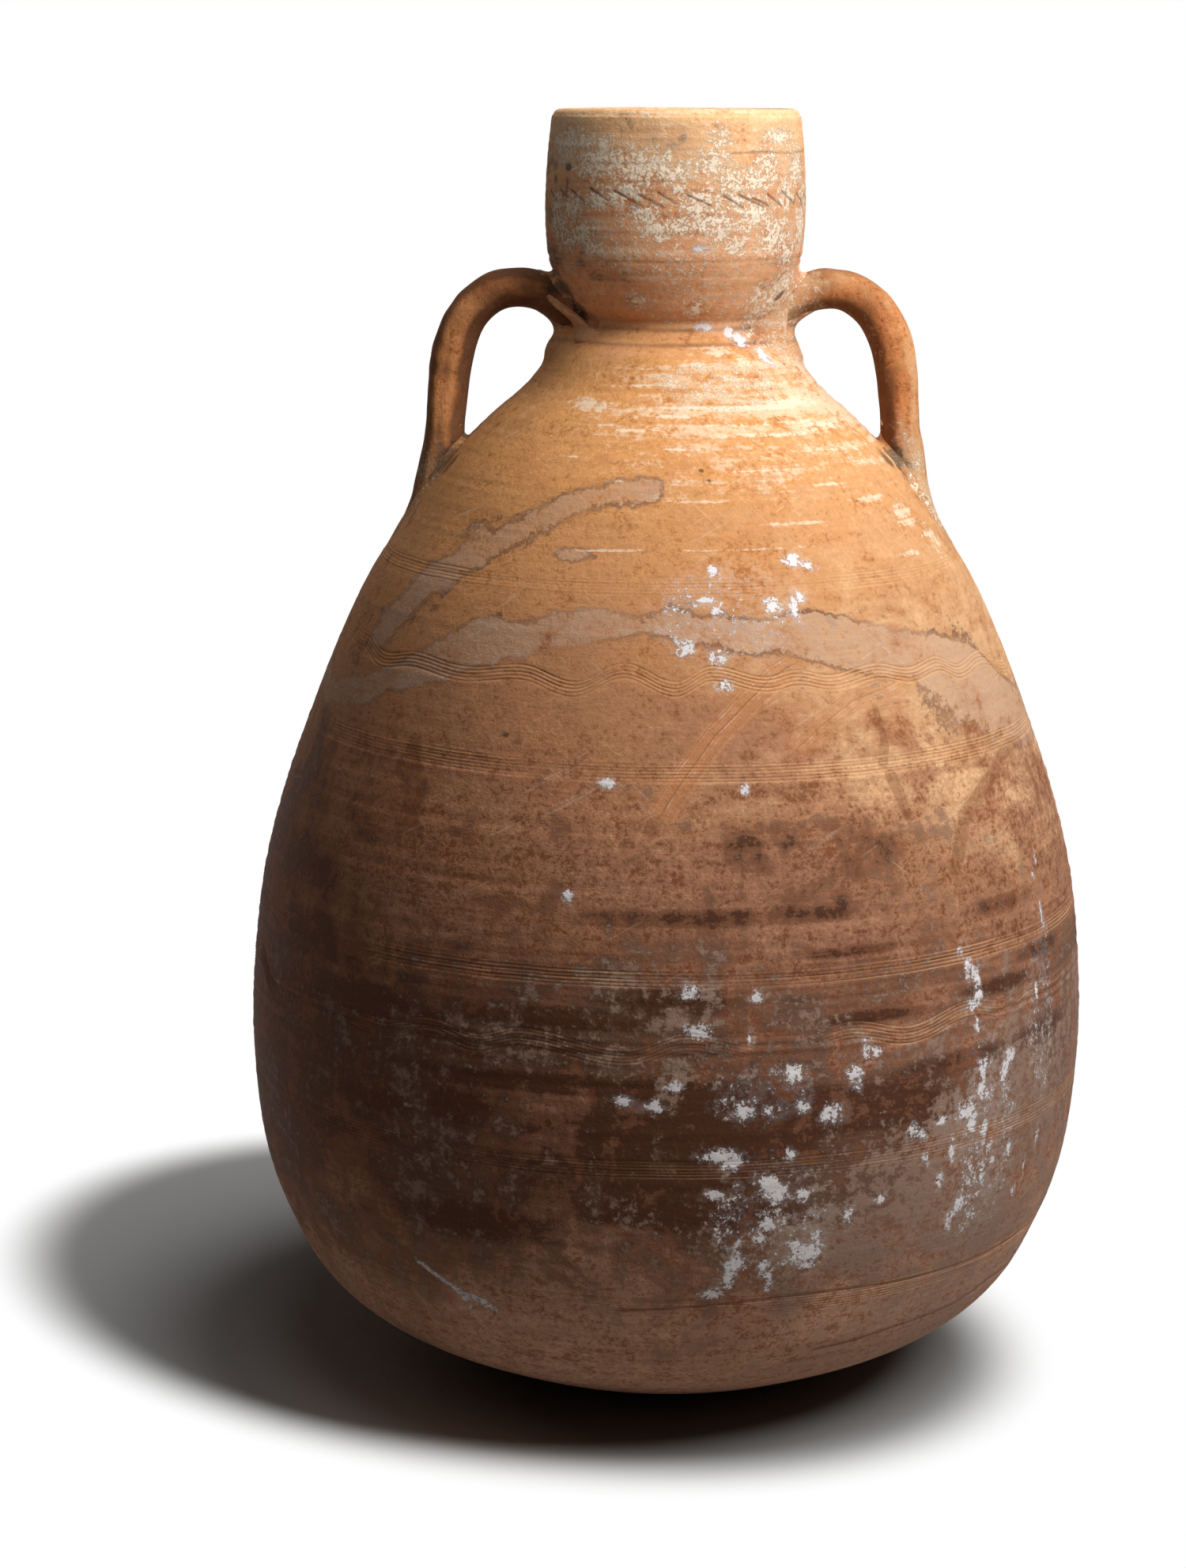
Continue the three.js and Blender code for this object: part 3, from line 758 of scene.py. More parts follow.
def wall_finish(name):
    r = Recipe(name)
    height = r.node("ShaderNodeSeparateXYZ", {}, {0: r.place}, "Z")
    cloud = r.grain(13, (1, 1, 1.4), 5, 0.6, 0.4)
    blotch = r.grain(44, (1, 1, 1.2), 6, 0.62, 0.7)
    mottle = r.grain(150, (1, 1, 1.2), 6, 0.7)
    fine = r.grain(480, (1, 1, 1), 4, 0.75)
    wheel = r.grain(1, (8, 8, 470), 4, 0.6)
    streak = r.grain(1, (32, 32, 230), 7, 0.72, 0.3)
    drip = r.grain(1, (70, 70, 9), 5, 0.62, 0.2)
    jag = mottle * 1.3 + fine * 0.8

    r.colour = r.node("ShaderNodeValToRGB", {"stops": CLAY_AND_LIGHT_BY_HEIGHT}, {0: height * (1 / 0.6) + cloud * 0.25})
    r.paint((cloud * 0.6 + blotch * 0.5).rise(-0.05, 0.17) * 0.5, RED_CLAY)
    # Paler clay at random, and painted highlight where the light falls on the upper body, collar and neck
    pale = (r.mark("pale") * 0.6 + blotch * 1.6 + streak * 1.0 + cloud * 0.8).rise(0.2, 0.9)
    r.paint(pale * (0.6 - height.rise(0.36, 0.42) * 0.35 + height.rise(0.55, 0.58) * 0.3), PALE_CLAY_AND_HIGHLIGHT)
    low_down = 1 - height.rise(0.28, 0.36)
    speckle = (mottle * 1.4 + fine * 1.6) * (low_down * 1.1 + 0.8)
    r.shaded(blotch * 1.1 + wheel * (low_down * 0.7 + 0.15) + speckle, (0.6, 0.46, 0.38), 0.6)

    # Dark soak stains, and painted shade where the soak mark carries it
    soak = r.mark("soak") + streak * 0.45 + cloud * 1.3 + blotch * 1.7 + drip * 0.9 + jag * 0.9
    r.paint(soak.rise(0.42, 0.62) * 0.7, DARK_RED_STAIN_AND_SHADE)
    r.paint(soak.rise(0.68, 0.86) * 0.85, DARK_STAIN_AND_SHADE)

    film = r.mark("film") + cloud * 1.5 + drip * 1.1 + blotch * 1.2
    r.paint((film + jag * 0.6).rise(0.3, 1.0) * 0.34, FILM)
    r.paint((film + jag * 2.4 + r.mark("haze") * 0.5).rise(0.66, 1.02) * 0.52, FILM)

    tide = r.mark("tide") + blotch * 1.1 + jag * 0.75
    inside = tide.rise(-0.05, 0.05)
    edge = (1 - abs(tide - 0.03) * 5.5).rise(0.0, 0.9)
    r.paint(inside * (0.5 + mottle * 1.6 + blotch * 1.2), TIDE_INSIDE)
    r.paint(edge * (0.5 + cloud * 2.4 + mottle * 1.2), TIDE_EDGE)

    run = (r.mark("drip") + blotch * 1.6 + jag * 1.0).rise(0.0, 0.25)
    r.paint(run * 0.44, RUN_BROWN)

    rubbed = r.mark("scrape")
    teeth = r.node(
        "ShaderNodeTexNoise", {"noise_dimensions": "1D"},
        {"W": r.mark("across") + cloud * 1.5, "Scale": 0.9, "Detail": 5, "Roughness": 0.75},
    )
    r.paint(rubbed * 0.7, SCRAPED)
    r.paint(rubbed * (teeth + mottle * 0.6).rise(0.54, 0.68) * 0.34, CHALK)
    r.paint(rubbed * (0.5 - teeth).rise(0.02, 0.12) * 0.45, DARK_RED_STAIN_AND_SHADE)

    comb = r.mark("comb")
    cut_clean = 0.62 + height.rise(0.15, 0.5) * 0.2 + blotch * 1.3 + cloud * 0.7
    r.paint(comb.rise(0.22, 0.75) * cut_clean * 0.9, FRESH_CLAY)

    scratch = r.scratches(0.5).rise(0.64, 0.7) + r.scratches(-0.7).rise(0.66, 0.72)
    r.paint(scratch * cloud.rise(-0.2, 0.2) * height.rise(0.2, 0.3) * 0.22, CHALK)

    wipe = (r.mark("wipe") + streak * 1.6 + wheel * 1.8 + jag * 1.8).rise(0.3, 0.85)
    wash = (wheel * 1.2 + streak * 1.8 + jag * 1.3 + r.mark("wash") - 0.4).rise(0.05, 0.55)
    r.paint(wipe * 0.62, CHALK)
    r.paint(wash * 0.5, CHALK)

    haze = (r.mark("haze") * 0.55 + jag * 1.1 + drip).rise(0.3, 0.85)
    r.paint(haze * 0.32, HAZE_GREY)

    grit = r.grain(900, (1, 1, 1), 3, 0.7)
    lime = r.mark("lime") * 0.45 + mottle * 0.7 + fine * 2.7 + grit * 2.4
    crust = lime.rise(0.06, 0.24) * r.mark("lime").rise(-0.8, -0.2)
    veil = (r.mark("lime") * 0.7 + blotch * 1.8 + jag * 1.2).rise(-0.2, 0.9)
    r.paint(veil * 0.42, LIME_VEIL)
    r.paint(crust * 0.95, CRUST)
    r.paint(r.mark("cut") * 0.85, DARK_RED_STAIN_AND_SHADE)

    flake = (r.mark("flake") + mottle * 1.9 + fine * 3.0 + drip * 1.4 + grit * 1.6).rise(0.24, 0.38)
    halo = (r.mark("flake") + mottle * 3.0 + fine * 2.0).rise(-0.5, 0.5)
    r.paint(halo * 0.16, FLAKE_WHITE)
    r.paint(flake * 0.92, FLAKE_WHITE)

    # Dirt, and painted shade in the recess by the left handle's upper root
    grime_and_shade = (r.mark("dirt") * 1.2 + jag * 1.3).rise(0.2, 0.8)
    r.paint(grime_and_shade * 0.75, DIRT_AND_SHADE_DARK)

    rough = 0.78 + 0.14 * crust - 0.12 * rubbed + 0.06 * flake
    bump = wheel * 0.12 + mottle * 0.42 + fine * 0.34 + crust * 0.26 + flake * 0.2
    return r.finish(rough, bump, 0.0012)


def handle_finish(name):
    r = Recipe(name)
    cloud = r.grain(24, (1, 1, 1), 5, 0.6, 0.3)
    blotch = r.grain(60, (1, 1, 1), 6, 0.6, 0.3)
    mottle = r.grain(170, (1, 1, 1), 6, 0.72)
    drag = r.grain(1, (170, 170, 30), 5, 0.6)
    fine = r.grain(520, (1, 1, 1), 4, 0.75)
    jag = mottle * 1.3 + fine * 0.8
    r.colour = HANDLE_CLAY
    r.paint(cloud.rise(-0.15, 0.15), HANDLE_PALE)
    r.shaded(blotch * 0.7 + mottle * 1.8 + drag * 0.9 + fine * 2.0, (0.55, 0.42, 0.34), 0.7)
    # Dark worn clay, and painted shade on the handles' inner faces and edges and over the whole left handle
    worn = (r.mark("soak") + jag * 0.6 + blotch * 1.3 + drag * 0.6).rise(0.2, 0.9)
    r.paint(worn * 0.85, HANDLE_WORN_AND_SHADE)
    # Rubbed paler clay, and painted highlight on the right handle's outer face
    rubbed = (drag * 1.6 + blotch * 1.2 + jag * 0.7 + r.mark("rub")).rise(0.25, 0.9)
    r.paint(rubbed * 0.4, PALE_CLAY_AND_HIGHLIGHT)
    crust = (r.mark("lime") * 0.4 + mottle * 1.2 + fine * 2.2).rise(0.1, 0.34)
    crust = crust * r.mark("lime").rise(-0.4, 0.1)
    veil = (r.mark("lime") * 1.2 + jag * 0.8 + blotch).rise(-0.3, 0.6)
    r.paint(veil * 0.75, HANDLE_VEIL)
    r.paint(crust * 0.8, CRUST)
    # Dirt, and painted shade in the recess between the left handle's upper root and the collar
    grime_and_shade = (r.mark("dirt") * 1.2 + jag * 1.3).rise(0.2, 0.8)
    r.paint(grime_and_shade * 0.85, DIRT_AND_SHADE_DARK)
    rough = 0.8 + 0.12 * crust
    bump = mottle * 0.4 + fine * 0.35 + drag * 0.4 + crust * 0.15
    return r.finish(rough, bump, 0.0013)


# Pieces
def stand(name, data):
    made = bpy.data.objects.new(name, data)
    bpy.context.scene.collection.objects.link(made)
    return made


def mesh_of(name, bm, finish):
    mesh = bpy.data.meshes.new(name)
    bm.to_mesh(mesh)
    bm.free()
    mesh.materials.append(finish)
    return mesh


def put(node, bm, finish, dress):
    """Makes a node's piece of a bmesh in millimetres, dresses its points and ties it to the frame."""
    mesh = mesh_of(node + "_clay", bm, finish)
    points = np.zeros(len(mesh.vertices) * 3, np.float32)
    mesh.vertices.foreach_get("co", points)
    points = points.reshape(-1, 3).astype(float)
    marks = dress(points)
    mesh.vertices.foreach_set("co", (points * MM).astype(np.float32).ravel())
    for mark, values in marks.items():
        mesh.attributes.new(mark, "FLOAT", "POINT").data.foreach_set("value", values.astype(np.float32))
    mesh.update()
    piece = stand(mesh.name, mesh)
    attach(piece, "root")
    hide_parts(node)


def smoothed(bm):
    bmesh.ops.recalc_face_normals(bm, faces=bm.faces)
    for face in bm.faces:
        face.smooth = True
    return bm


def spun(points, closed=True):
    """A closed body turned round the jar's axis."""
    bm = bmesh.new()
    spots = [bm.verts.new((radius, 0, z)) for radius, z in points]
    ends = spots[1:] + spots[:1] if closed else spots[1:]
    edges = [bm.edges.new(pair) for pair in zip(spots, ends)]
    bmesh.ops.spin(
        bm, geom=spots + edges, cent=(0, 0, 0), axis=(0, 0, 1), angle=math.pi / 2, steps=TURNS // 4,
    )
    for axis in ("X", "Y"):
        bmesh.ops.mirror(bm, geom=bm.verts[:] + bm.edges[:] + bm.faces[:], merge_dist=1e-3, axis=axis)
    bmesh.ops.remove_doubles(bm, verts=bm.verts, dist=1e-3)
    smoothed(bm)
    for edge in bm.edges:
        if edge.is_manifold and edge.calc_face_angle() > SHARP:
            edge.smooth = False
    return bm


def wall_middle(level):
    return (float(outer_radius(level)) + float(inner_radius(level))) / 2


def groove(level):
    middle, half = wall_middle(level), TONGUE_HALF + JOINT_GAP
    return [(middle + half, level), (middle, level - TONGUE - JOINT_GAP), (middle - half, level)]


def tongue(level):
    middle = wall_middle(level)
    return [(middle - TONGUE_HALF, level), (middle, level - TONGUE), (middle + TONGUE_HALF, level)]


def outside(low, high, coarse):
    return [(float(outer_radius(z)), float(z)) for z in ring_levels(low, high, coarse)]


def inside(low, high, steps):
    return [(float(inner_radius(z)), float(z)) for z in np.linspace(high, max(low, INNER[0, 1]), steps)]


clay_wall = wall_finish("combed terracotta wall")


def build_wall():
    floor, top = float(INNER[0, 1]), RIM - LIP_RADIUS
    bowl = [(0, 0), (20, 0), (36, 0), *outside(0, BOWL_JOINT, 1.5), *groove(BOWL_JOINT)]
    bowl += [*inside(floor, BOWL_JOINT, 24), (24, floor), (0, floor)]
    put("base_bowl", spun(bowl, False), clay_wall, dress_wall)
    rings = [
        ("lower_wall", "weathered_terracotta", BOWL_JOINT, BELLY_JOINT, 1.7, 18),
        ("upper_wall", "terracotta", BELLY_JOINT, SHOULDER_JOINT, 1.95, 18),
        ("shoulder", "terracotta", SHOULDER_JOINT, NECK_ROOT, 0.95, 18),
        ("neck", "terracotta", NECK_ROOT, NECK_TOP, 0.5, 14),
    ]
    for node, slot, low, high, coarse, steps in rings:
        profile = [*outside(low, high, coarse), *groove(high), *inside(low, high, steps), *tongue(low)]
        put(node, spun(profile), clay_wall, dress_wall)
    edge = OUTLINE[-1][0]
    lip = []
    for middle, steps in ((edge - LIP_RADIUS, range(1, 9)), (edge - COLLAR_WALL + LIP_RADIUS, range(8, 17))):
        for a in (math.pi / 16 * k for k in steps):
            lip.append((middle + LIP_RADIUS * math.cos(a), top + LIP_RADIUS * math.sin(a)))
    collar = [*outside(NECK_TOP, top, 0.48), *lip, *inside(NECK_TOP, top - 1, 20), *tongue(NECK_TOP)]
    put("mouth_collar", spun(collar), clay_wall, dress_wall)


build_wall()

# Handles: the centre line on the right side as radius and height, with half thickness and half width along it
HANDLE_LINE = [
    (41.5, 503), (52.7, 511.9), (62, 516.6), (71.6, 518.4), (80.8, 517), (88.2, 512.8), (95.4, 505.6),
    (101, 494.4), (104, 481.7), (105.3, 469.4), (106.4, 459.2), (107.1, 447), (108.9, 436.8), (111.6, 426.6),
    (116, 415.5), (123.4, 404.5), (130.2, 396),
]
HANDLE_HALVES = [
    (10.2, 14.6), (9.4, 13.8), (9.2, 13.2), (9.2, 12.8), (9.3, 12.6), (9.4, 12.5), (9.6, 12.4), (9.8, 12.4),
    (9.7, 12.4), (9.4, 12.5), (9.2, 12.8), (9.4, 13.2), (9.8, 13.8), (9.4, 14.4), (8, 14), (5.4, 11),
    (3.6, 7),
]
HANDLE_ROUND = 96
HANDLE_STATIONS = 240
SOFTENING = 9
WAD_STEPS = 20
WAD_POINTS = (WAD_STEPS + 2) * HANDLE_ROUND
FRONT, UNDER, BACK = 270, 180, 90


def softened(values, reach):
    window = np.hanning(2 * reach + 1)
    window /= window.sum()
    held = np.r_[2 * values[0] - values[reach:0:-1], values, 2 * values[-1] - values[-2:-reach - 2:-1]]
    return np.convolve(held, window, "valid")


def handle_frames():
    """Even stations down the handle: where they lie, the half thickness and width, and the way outward."""
    tracks = [smooth_line(table, 2400) for table in (HANDLE_LINE, HANDLE_HALVES)]
    arc = np.r_[0, np.cumsum(np.hypot(*np.diff(tracks[0], axis=0).T))]
    even = np.linspace(0, arc[-1], HANDLE_STATIONS)
    line, halves = (
        np.transpose([softened(np.interp(even, arc, part), SOFTENING) for part in track.T])
        for track in tracks
    )
    along = np.gradient(line, axis=0)
    along /= np.hypot(along[:, 0], along[:, 1])[:, None]
    return line, halves, np.c_[-along[:, 1], along[:, 0]]


def handle_ring(station, frames):
    """One oval ring on the right side, from the outer face round by the back, with a pulled ridge."""
    line, halves, across = frames
    a = np.linspace(0, 2 * math.pi, HANDLE_ROUND, endpoint=False)
    thick, wide = halves[station]
    share = station / HANDLE_STATIONS
    pulled = 1 + 0.03 * np.cos(3 * a + 1.1 + 2 * share)
    pulled -= 0.045 * bell(np.degrees(a) - 300 + 25 * share, 13) * math.sin(math.pi * share)
    up = thick * np.cos(a) * pulled
    side = wide * np.sin(a) * pulled
    return np.c_[line[station, 0] + across[station, 0] * up, side, line[station, 1] + across[station, 1] * up]


def loft(rings, side, bm=None):
    """A closed body through rings of points on the right side, or mirrored to the left, capped at both ends."""
    bm = bm or bmesh.new()
    loops = []
    for ring in rings:
        spots = [bm.verts.new((side * x, y, z)) for x, y, z in ring]
        loops.append([bm.edges.new((spots[i], spots[(i + 1) % len(spots)])) for i in range(len(spots))])
    for low, high in zip(loops, loops[1:]):
        bmesh.ops.bridge_loops(bm, edges=low + high)
    for end in (loops[0], loops[-1]):
        bmesh.ops.contextual_create(bm, geom=end)
    bmesh.ops.triangulate(bm, faces=[f for f in bm.faces if len(f.verts) > 4])
    return smoothed(bm)


def handle_marks(points, side):
    x, y, z = side * points[:, 0], points[:, 1], points[:, 2]
    root = np.hypot(x - 111, z - 432)
    inner = ease(-(x - 96), -4, 8) * ease(z, 440, 460)
    neck = np.hypot(np.hypot(x, y) - 48, z - 512)
    # Painted shade: darker on the inner edge, near the lower root and over the whole left handle
    soak = 0.2 + 0.3 * inner + (0.15 if side < 0 else 0) + 0.3 * fade(root, 8, 34) * fade(x, 110, 122)
    if side > 0:
        soak += 0.35 * bell(x - 102 - 0.05 * (z - 460), 3) * fade(z, 470, 500)
    # Rubbed paler on the outer edge and the front, and less on the left handle as painted shade
    rub = 0.45 * ease(x, 104, 113) + 0.3 * ease(-y, 4, 12) * ease(z, 490, 515) - (0.25 if side < 0 else 0)
    lime = np.full(len(points), -0.5)
    if side > 0:
        lime = np.maximum(lime, 0.5 - neck / 34)
        lime = np.maximum(lime, 0.3 - np.abs(x - 116 + (z - 430) * 0.35) / 22 - 0.5 * ease(z, 440, 470))
    else:
        lime = np.maximum(lime, 0.05 - root / 50)
    dirt = np.clip(1 - np.hypot((x - 101) / 13, (z - 437) / 17), 0, 1) * ease(-y, -6, 6)
    if side < 0:
        # Painted shade in the recess between the left handle's upper root and the collar
        dirt = np.maximum(dirt, np.clip(0.9 - np.hypot((x - 52) / 14, (z - 519) / 9), 0, 1) * ease(-y, 0, 8))
    else:
        crack = np.hypot((x - 48 - 0.9 * (z - 516)) / 1.0, (z - 516) / 2.6)
        dirt = np.maximum(dirt, np.clip(1.5 - crack, 0, 1) * ease(-y, 4, 10))
    return {"soak": soak, "lime": lime, "dirt": dirt, "rub": rub}


def leaned(points):
    points[:, 0] += LEAN * (points[:, 2] - LEAN_CENTRE)


def dress_handle(side):
    def dress(points):
        marks = handle_marks(points, side)
        outward = np.cos(2 * math.pi * (np.arange(len(points)) % HANDLE_ROUND) / HANDLE_ROUND)
        # Painted shade on the faces turned to the jar and on the left handle's outer face; painted highlight on
        # the right handle's outer face
        marks["soak"] += 0.7 * ease(-outward, 0.15, 0.8)
        marks["soak"] += (0.6 if side < 0 else 0.1) * ease(outward, 0.45, 0.95)
        marks["rub"] += (-0.1 if side < 0 else 0.25) * ease(outward, 0.2, 0.6)
        push = 0.45 * lumps(points, 34, 201 + side) + 0.2 * lumps(points, 12, 203 + side)
        for axis in range(3):
            points[:, axis] += push * lumps(points, 60, 210 + 3 * axis + side, 6)
        points[:, 1] += 0.03 * points[:, 1] * lumps(points, 26, 205 + side)
        leaned(points)
        return marks
    return dress


clay_handle = handle_finish("pulled terracotta handle")
clay_luting = wall_finish("smeared luting clay")


def unrolled(point):
    """Angle from the handle's side, height, and distance out from the wall."""
    x, y, z = point
    return np.array([math.atan2(y, x), z, math.hypot(x, y) - float(outer_radius(z))])


def rolled(spot):
    angle, z, proud = spot
    radius = proud + float(outer_radius(z))
    return np.array([radius * math.cos(angle), radius * math.sin(angle), z])


def around(values, reach):
    """Values softened round the closed ring."""
    window = np.hanning(2 * reach + 3)[1:-1]
    window /= window.sum()
    return sum(share * np.roll(values, n - reach, axis=0) for n, share in enumerate(window))


def swell(base, *lobes):
    """A value for each point round the handle: a base, and lobes that are centre, width and height."""
    turn = 360 * np.arange(HANDLE_ROUND) / HANDLE_ROUND
    for centre, width, height in lobes:
        base = base + height * bell((turn - centre + 180) % 360 - 180, width)
    return base


def smear_rings(frames, order, back, spread, fat, drift, drop):
    """Rings of soft clay from the handle's skin out over the wall, round the place where they meet."""
    line = frames[0]
    grid = np.array([handle_ring(station, frames) for station in order])
    proud = np.hypot(grid[..., 0], grid[..., 1]) - outer_radius(grid[..., 2])
    centre = line[order[int(np.argmax(line[order, 0] < outer_radius(line[order, 1])))]]
    meets, start = np.zeros(HANDLE_ROUND), np.zeros(HANDLE_ROUND)
    for k in range(HANDLE_ROUND):
        under = np.flatnonzero(proud[:, k] < 0)
        meets[k] = under[0] if len(under) else len(order) - 1
        arc = np.r_[0, np.cumsum(np.linalg.norm(np.diff(grid[:, k], axis=0), axis=1))]
        start[k] = np.interp(arc[int(meets[k])] - back[k], arc, np.arange(len(order)))

    def skin(place, k):
        low = min(int(place), len(order) - 2)
        return grid[low, k] + (grid[low + 1, k] - grid[low, k]) * (place - low)

    meets, start = around(meets, 6), around(start, 6)
    knots = np.zeros((HANDLE_ROUND, 3, 3))
    for k in range(HANDLE_ROUND):
        first, corner = unrolled(skin(start[k], k)), unrolled(skin(meets[k], k))
        radius = float(outer_radius(corner[1]))
        way = np.array([corner[0] * radius, corner[1] - centre[1]])
        way /= max(np.linalg.norm(way), 1e-6)
        corner[2] = fat[k]
        around_by, up_by = spread[k] * way + (drift[k], drop[k])
        knots[k] = first, corner, (corner[0] + around_by / radius, corner[1] + up_by, -0.7)
    knots[:, 1:] = around(knots[:, 1:], 4)
    rings = [[] for _ in range(WAD_STEPS + 2)]
    for k, (first, corner, last) in enumerate(knots):
        edge = skin(start[k], k)
        station = order[int(start[k])]
        core = np.array([line[station, 0], 0, line[station, 1]])
        rings[0].append(edge + (core - edge) * 0.3)
        for n in range(WAD_STEPS):
            t = n / (WAD_STEPS - 1)
            thinning = corner * np.array([1, 1, (1 - t) ** 0.7])
            rings[n + 1].append(rolled((1 - t) ** 2 * first + 2 * t * (1 - t) * thinning + t * t * last))
        rings[-1].append(rolled(last - np.array([0, 0, 3.5])))
    rings[1] = [a + (b - a) * 0.06 for a, b in zip(rings[1], rings[0])]
    return [np.array(ring) for ring in rings]


# The pointed lip of clay that was drawn from the left handle's front edge down on to the neck:
# azimuth from the front, height, how far it stands out and its half width
DRAWN_LIP = [
    (84, 519, 8, 4), (79, 514.4, 10.6, 4.4), (74, 510, 10, 4.2), (69, 506, 8.2, 3.8), (64, 502.8, 6, 3.2),
    (58.5, 500.6, 3.8, 2.6), (53, 499.3, 1.6, 1.6), (48, 498.6, -0.5, 0.7),
]


def lip_rings():
    rings = []
    for azimuth, height, proud, half in smooth_line(DRAWN_LIP, 30):
        ring = []
        for a in np.linspace(0, 2 * math.pi, 28, endpoint=False):
            up = math.sin(a)
            across = half * (math.cos(a) + 1.1 * (1 - up))
            angle = math.radians(azimuth - 90) + 0.45 * across / float(outer_radius(height))
            ring.append(rolled((angle, height - across, (proud - 1.5) / 2 + (proud + 1.5) / 2 * up)))
        rings.append(np.array(ring))
    return rings


def dress_luting(side, roughness, seed):
    def dress(points):
        turn = np.degrees(np.arctan2(points[:, 0], -points[:, 1]))
        marks = wall_marks(turn, points[:, 2], points[:, 2])
        for name in ("lime", "dirt"):
            marks[name] = np.maximum(marks[name], handle_marks(points, side)[name])
        proud = np.hypot(points[:, 0], points[:, 1]) - outer_radius(points[:, 2])
        lip = (np.arange(len(points)) >= WAD_POINTS) * ease(proud, 1, 3)
        # Painted highlight on the drawn lip's proud edge, which also keeps the soak and dirt off it
        marks["pale"] += 1.6 * lip
        for name in ("soak", "dirt"):
            marks[name] *= 1 - lip
        push = roughness * (0.8 * lumps(points, 14, seed) + 0.4 * lumps(points, 6, seed + 1))
        push *= ease(proud, -0.6, 2.5)
        points[:, 0] += push * np.sin(np.radians(turn))
        points[:, 1] -= push * np.cos(np.radians(turn))
        leaned(points)
        return marks
    return dress


def build_handles():
    frames = handle_frames()
    skin = [handle_ring(station, frames) for station in range(HANDLE_STATIONS)]
    upper = list(range(HANDLE_STATIONS // 3, -1, -1))
    lower = list(range(HANDLE_STATIONS // 2, HANDLE_STATIONS))
    flat = np.zeros(HANDLE_ROUND)
    left_upper = (
        swell(9, (UNDER, 60, 13)),
        swell(5, (UNDER, 60, 12), (FRONT, 30, 3)),
        swell(0.3, (UNDER, 55, 9.6), (FRONT - 4, 22, 2.6)),
        swell(0, (FRONT, 30, -4)),
        flat,
    )
    right_upper = (
        swell(11, (UNDER, 60, 12)),
        swell(6, (UNDER, 60, 10), (FRONT, 50, 13)),
        swell(1, (UNDER, 55, 9), (FRONT + 15, 45, 5.5)),
        swell(0, (FRONT, 40, -8)),
        swell(0, (FRONT + 40, 30, 4)),
    )
    lower_root = (
        swell(8, (UNDER, 50, 5)),
        swell(4, (BACK, 45, 5), (FRONT, 45, 5), (0, 50, 3)),
        swell(0.7, (FRONT, 50, 1.1), (BACK, 50, 1.1)),
        flat,
        swell(0, (0, 40, -9)),
    )
    for name, side, upper_root, roughness in (("left", -1, left_upper, 0.3), ("right", 1, right_upper, 0.5)):
        put(f"handle_{name}", loft(skin, side), clay_handle, dress_handle(side))
        wad = loft(smear_rings(frames, upper, *upper_root), side)
        if side < 0:
            wad = loft(lip_rings(), side, wad)
        dress = dress_luting(side, roughness, 301 + side)
        put(f"{name}_upper_luting", wad, clay_luting, dress)
        wad = loft(smear_rings(frames, lower, *lower_root), side)
        dress = dress_luting(side, 0.35, 305 + side)
        put(f"{name}_lower_luting", wad, clay_luting, dress)


build_handles()


# Floor, light and camera
# The ellipse beyond which painted white glow covers the cast shadow, and the middle of the painted shadow round
# the foot
SHADOW_MIDDLE = (0.085, -0.085, 0)
SHADOW_WAY = (-0.72, 0.694, 0)
SHADOW_ACROSS = (0.694, 0.72, 0)
PAINTED_SHADOW_MIDDLE = (-0.04, 0.03, 0)
FLOOR_DROP = 0.0004


def build_floor():
    """A floor that shows the jar's cast shadow, with painted shadow round the foot and painted white glow over
    the shadow's far end, so that it fades into the white background round it.
    """
    bm = bmesh.new()
    bmesh.ops.create_circle(bm, cap_ends=True, radius=40, segments=96)
    bmesh.ops.translate(bm, verts=bm.verts, vec=(0, 0, -FLOOR_DROP))
    r = Recipe("pale studio floor")
    seen = r.seen() + r.node("ShaderNodeLightPath", {}, {}, "Is Transmission Ray")
    centred = r.vector("ADD", r.place, SHADOW_MIDDLE)
    along, across = (r.vector("DOT_PRODUCT", centred, way, "Value") for way in (SHADOW_WAY, SHADOW_ACROSS))
    far = along * along * 11.1 + across * across * 20.4
    # Painted shadow: the cloth that the camera sees is darker round the foot
    painted_shadow_reach = r.vector("LENGTH", r.vector("ADD", r.place, PAINTED_SHADOW_MIDDLE), outlet="Value")
    cloth, white_cloth, painted_shadow_cloth = (
        r.node("ShaderNodeBsdfDiffuse", {}, {"Color": colour})
        for colour in ((0.31, 0.29, 0.27), (1.0, 1.0, 1.0), (0.26, 0.26, 0.26))
    )
    shown = r.node("ShaderNodeMixShader", {}, {0: painted_shadow_reach.rise(0.1, 0.19), 1: painted_shadow_cloth, 2: white_cloth})
    # Painted light: white glow over the cast shadow beyond the ellipse, which cuts the shadow short
    painted_white_glow = r.node("ShaderNodeEmission", {}, {"Color": (1, 1, 1), "Strength": 1.0})
    shown = r.node("ShaderNodeMixShader", {}, {0: far.rise(0.72, 1.12), 1: shown, 2: painted_white_glow})
    skin = r.close(r.node("ShaderNodeMixShader", {}, {0: seen, 1: cloth, 2: shown}))
    stand("studio_floor", mesh_of("studio_floor", bm, skin))


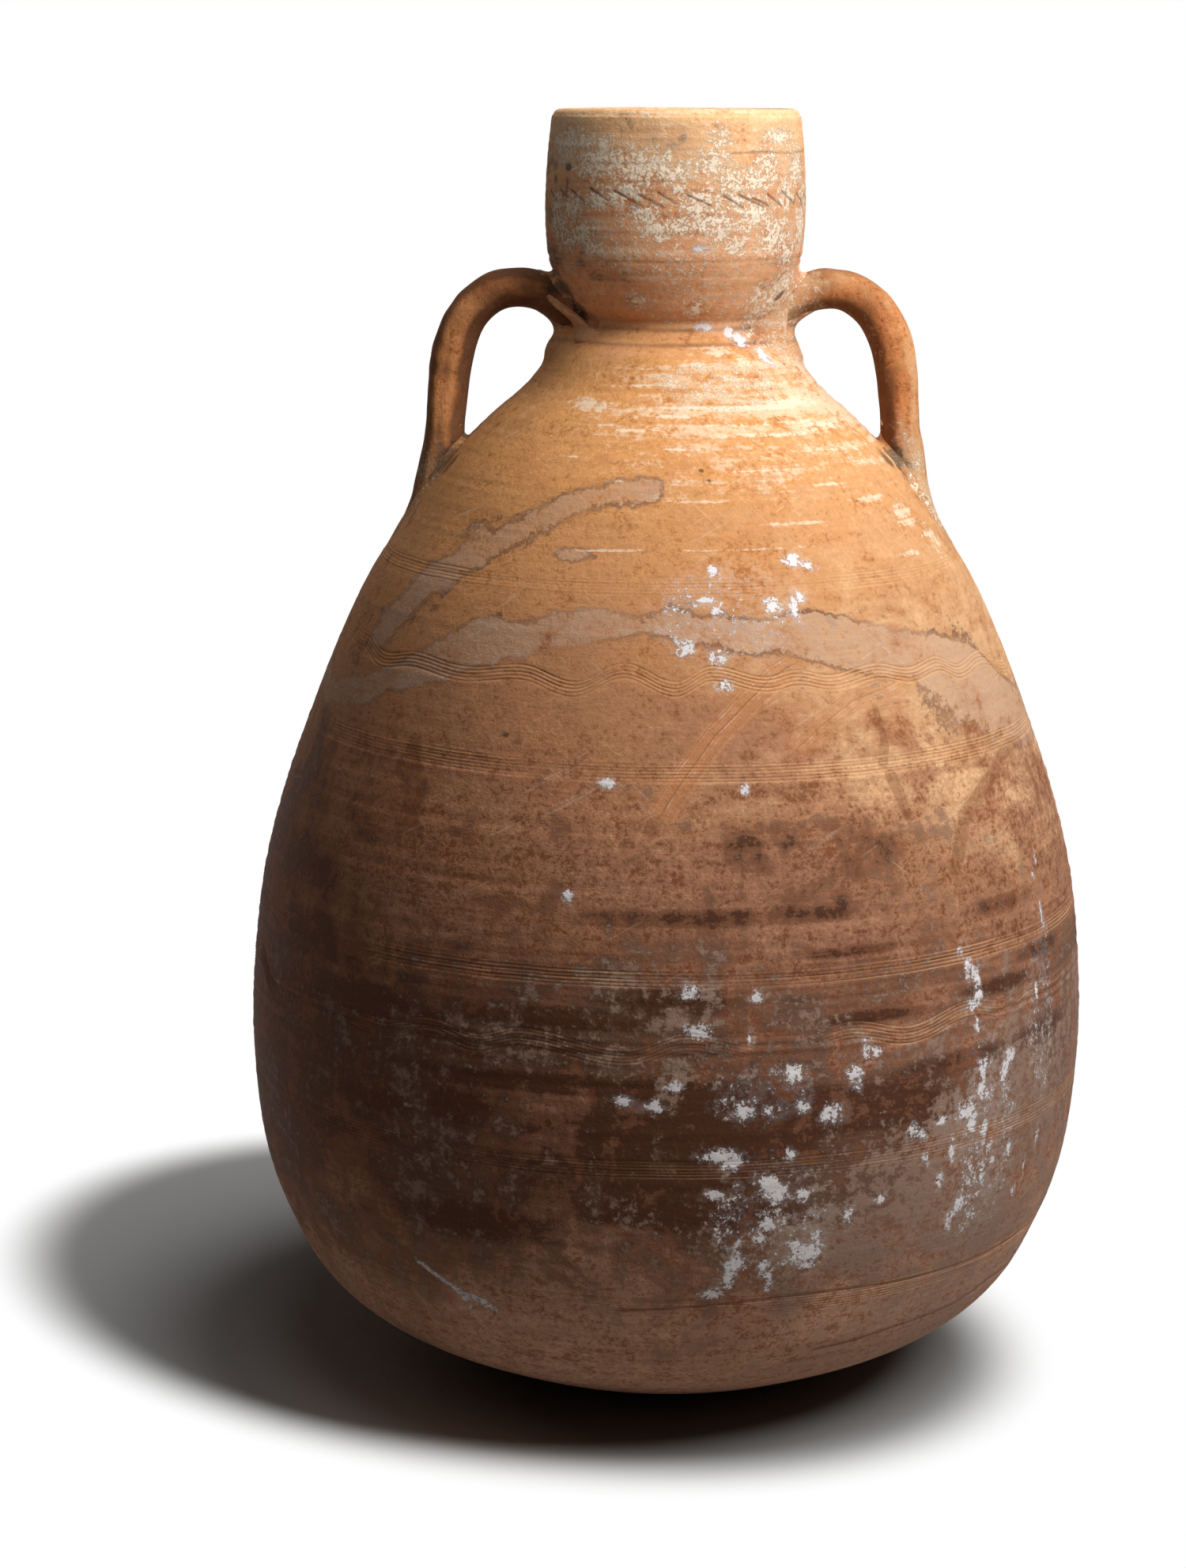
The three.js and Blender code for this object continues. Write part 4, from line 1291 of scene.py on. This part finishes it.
def build_world():
    r = Recipe("studio", bpy.data.worlds)
    dim = r.node("ShaderNodeBackground", {}, {"Color": (1, 0.93, 0.86), "Strength": 0.02})
    white = r.node("ShaderNodeBackground", {}, {"Color": (1, 1, 1), "Strength": 1})
    mix = r.node("ShaderNodeMixShader", {}, {0: r.seen(), 1: dim, 2: white})
    bpy.context.scene.world = r.close(mix, "ShaderNodeOutputWorld")


def lamp(name, azimuth, elevation, distance, size, power, aim):
    """A soft round lamp aimed at a height on the axis; azimuth 0 is in front and 90 on the right."""
    data = bpy.data.lights.new(name, "AREA")
    data.shape = "DISK"
    data.size = size
    data.energy = power
    data.color = (1, 0.985, 0.96)
    a, e = math.radians(azimuth), math.radians(elevation)
    way = Vector((math.sin(a) * math.cos(e), -math.cos(a) * math.cos(e), math.sin(e)))
    light = stand(name, data)
    light.location = Vector((0, 0, aim)) + way * distance
    light.rotation_mode = "QUATERNION"
    light.rotation_quaternion = way.to_track_quat("Z", "Y")


CAMERA_SPOT = (0, -1.6248, 0.6126)
CAMERA_TURNS = (11.48, -1.26, 0.28)
SENSOR = 36
PHOTO_HEIGHT = 1983
FOCUS_PIXELS = 4384.2


def build_camera():
    pitch, yaw, roll = (math.radians(turn) for turn in CAMERA_TURNS)
    turned = Matrix.Rotation(-yaw, 4, "Z") @ Matrix.Rotation(math.pi / 2 - pitch, 4, "X")
    data = bpy.data.cameras.new("camera")
    data.sensor_width = SENSOR
    data.lens = FOCUS_PIXELS / PHOTO_HEIGHT * SENSOR
    data.clip_end = 100
    camera = stand("camera", data)
    camera.matrix_world = Matrix.Translation(CAMERA_SPOT) @ turned @ Matrix.Rotation(roll, 4, "Z")
    bpy.context.scene.camera = camera


build_floor()
build_world()
lamp("key", 50, 40, 1.4, 0.6, 17, 0.32)
lamp("mouth fill", -26, 42, 0.5, 0.3, 0.3, 0.56)
lamp("top", 60, 74, 1.6, 0.8, 8, 0.2)
build_camera()

bpy.context.scene.view_settings.view_transform = "Standard"
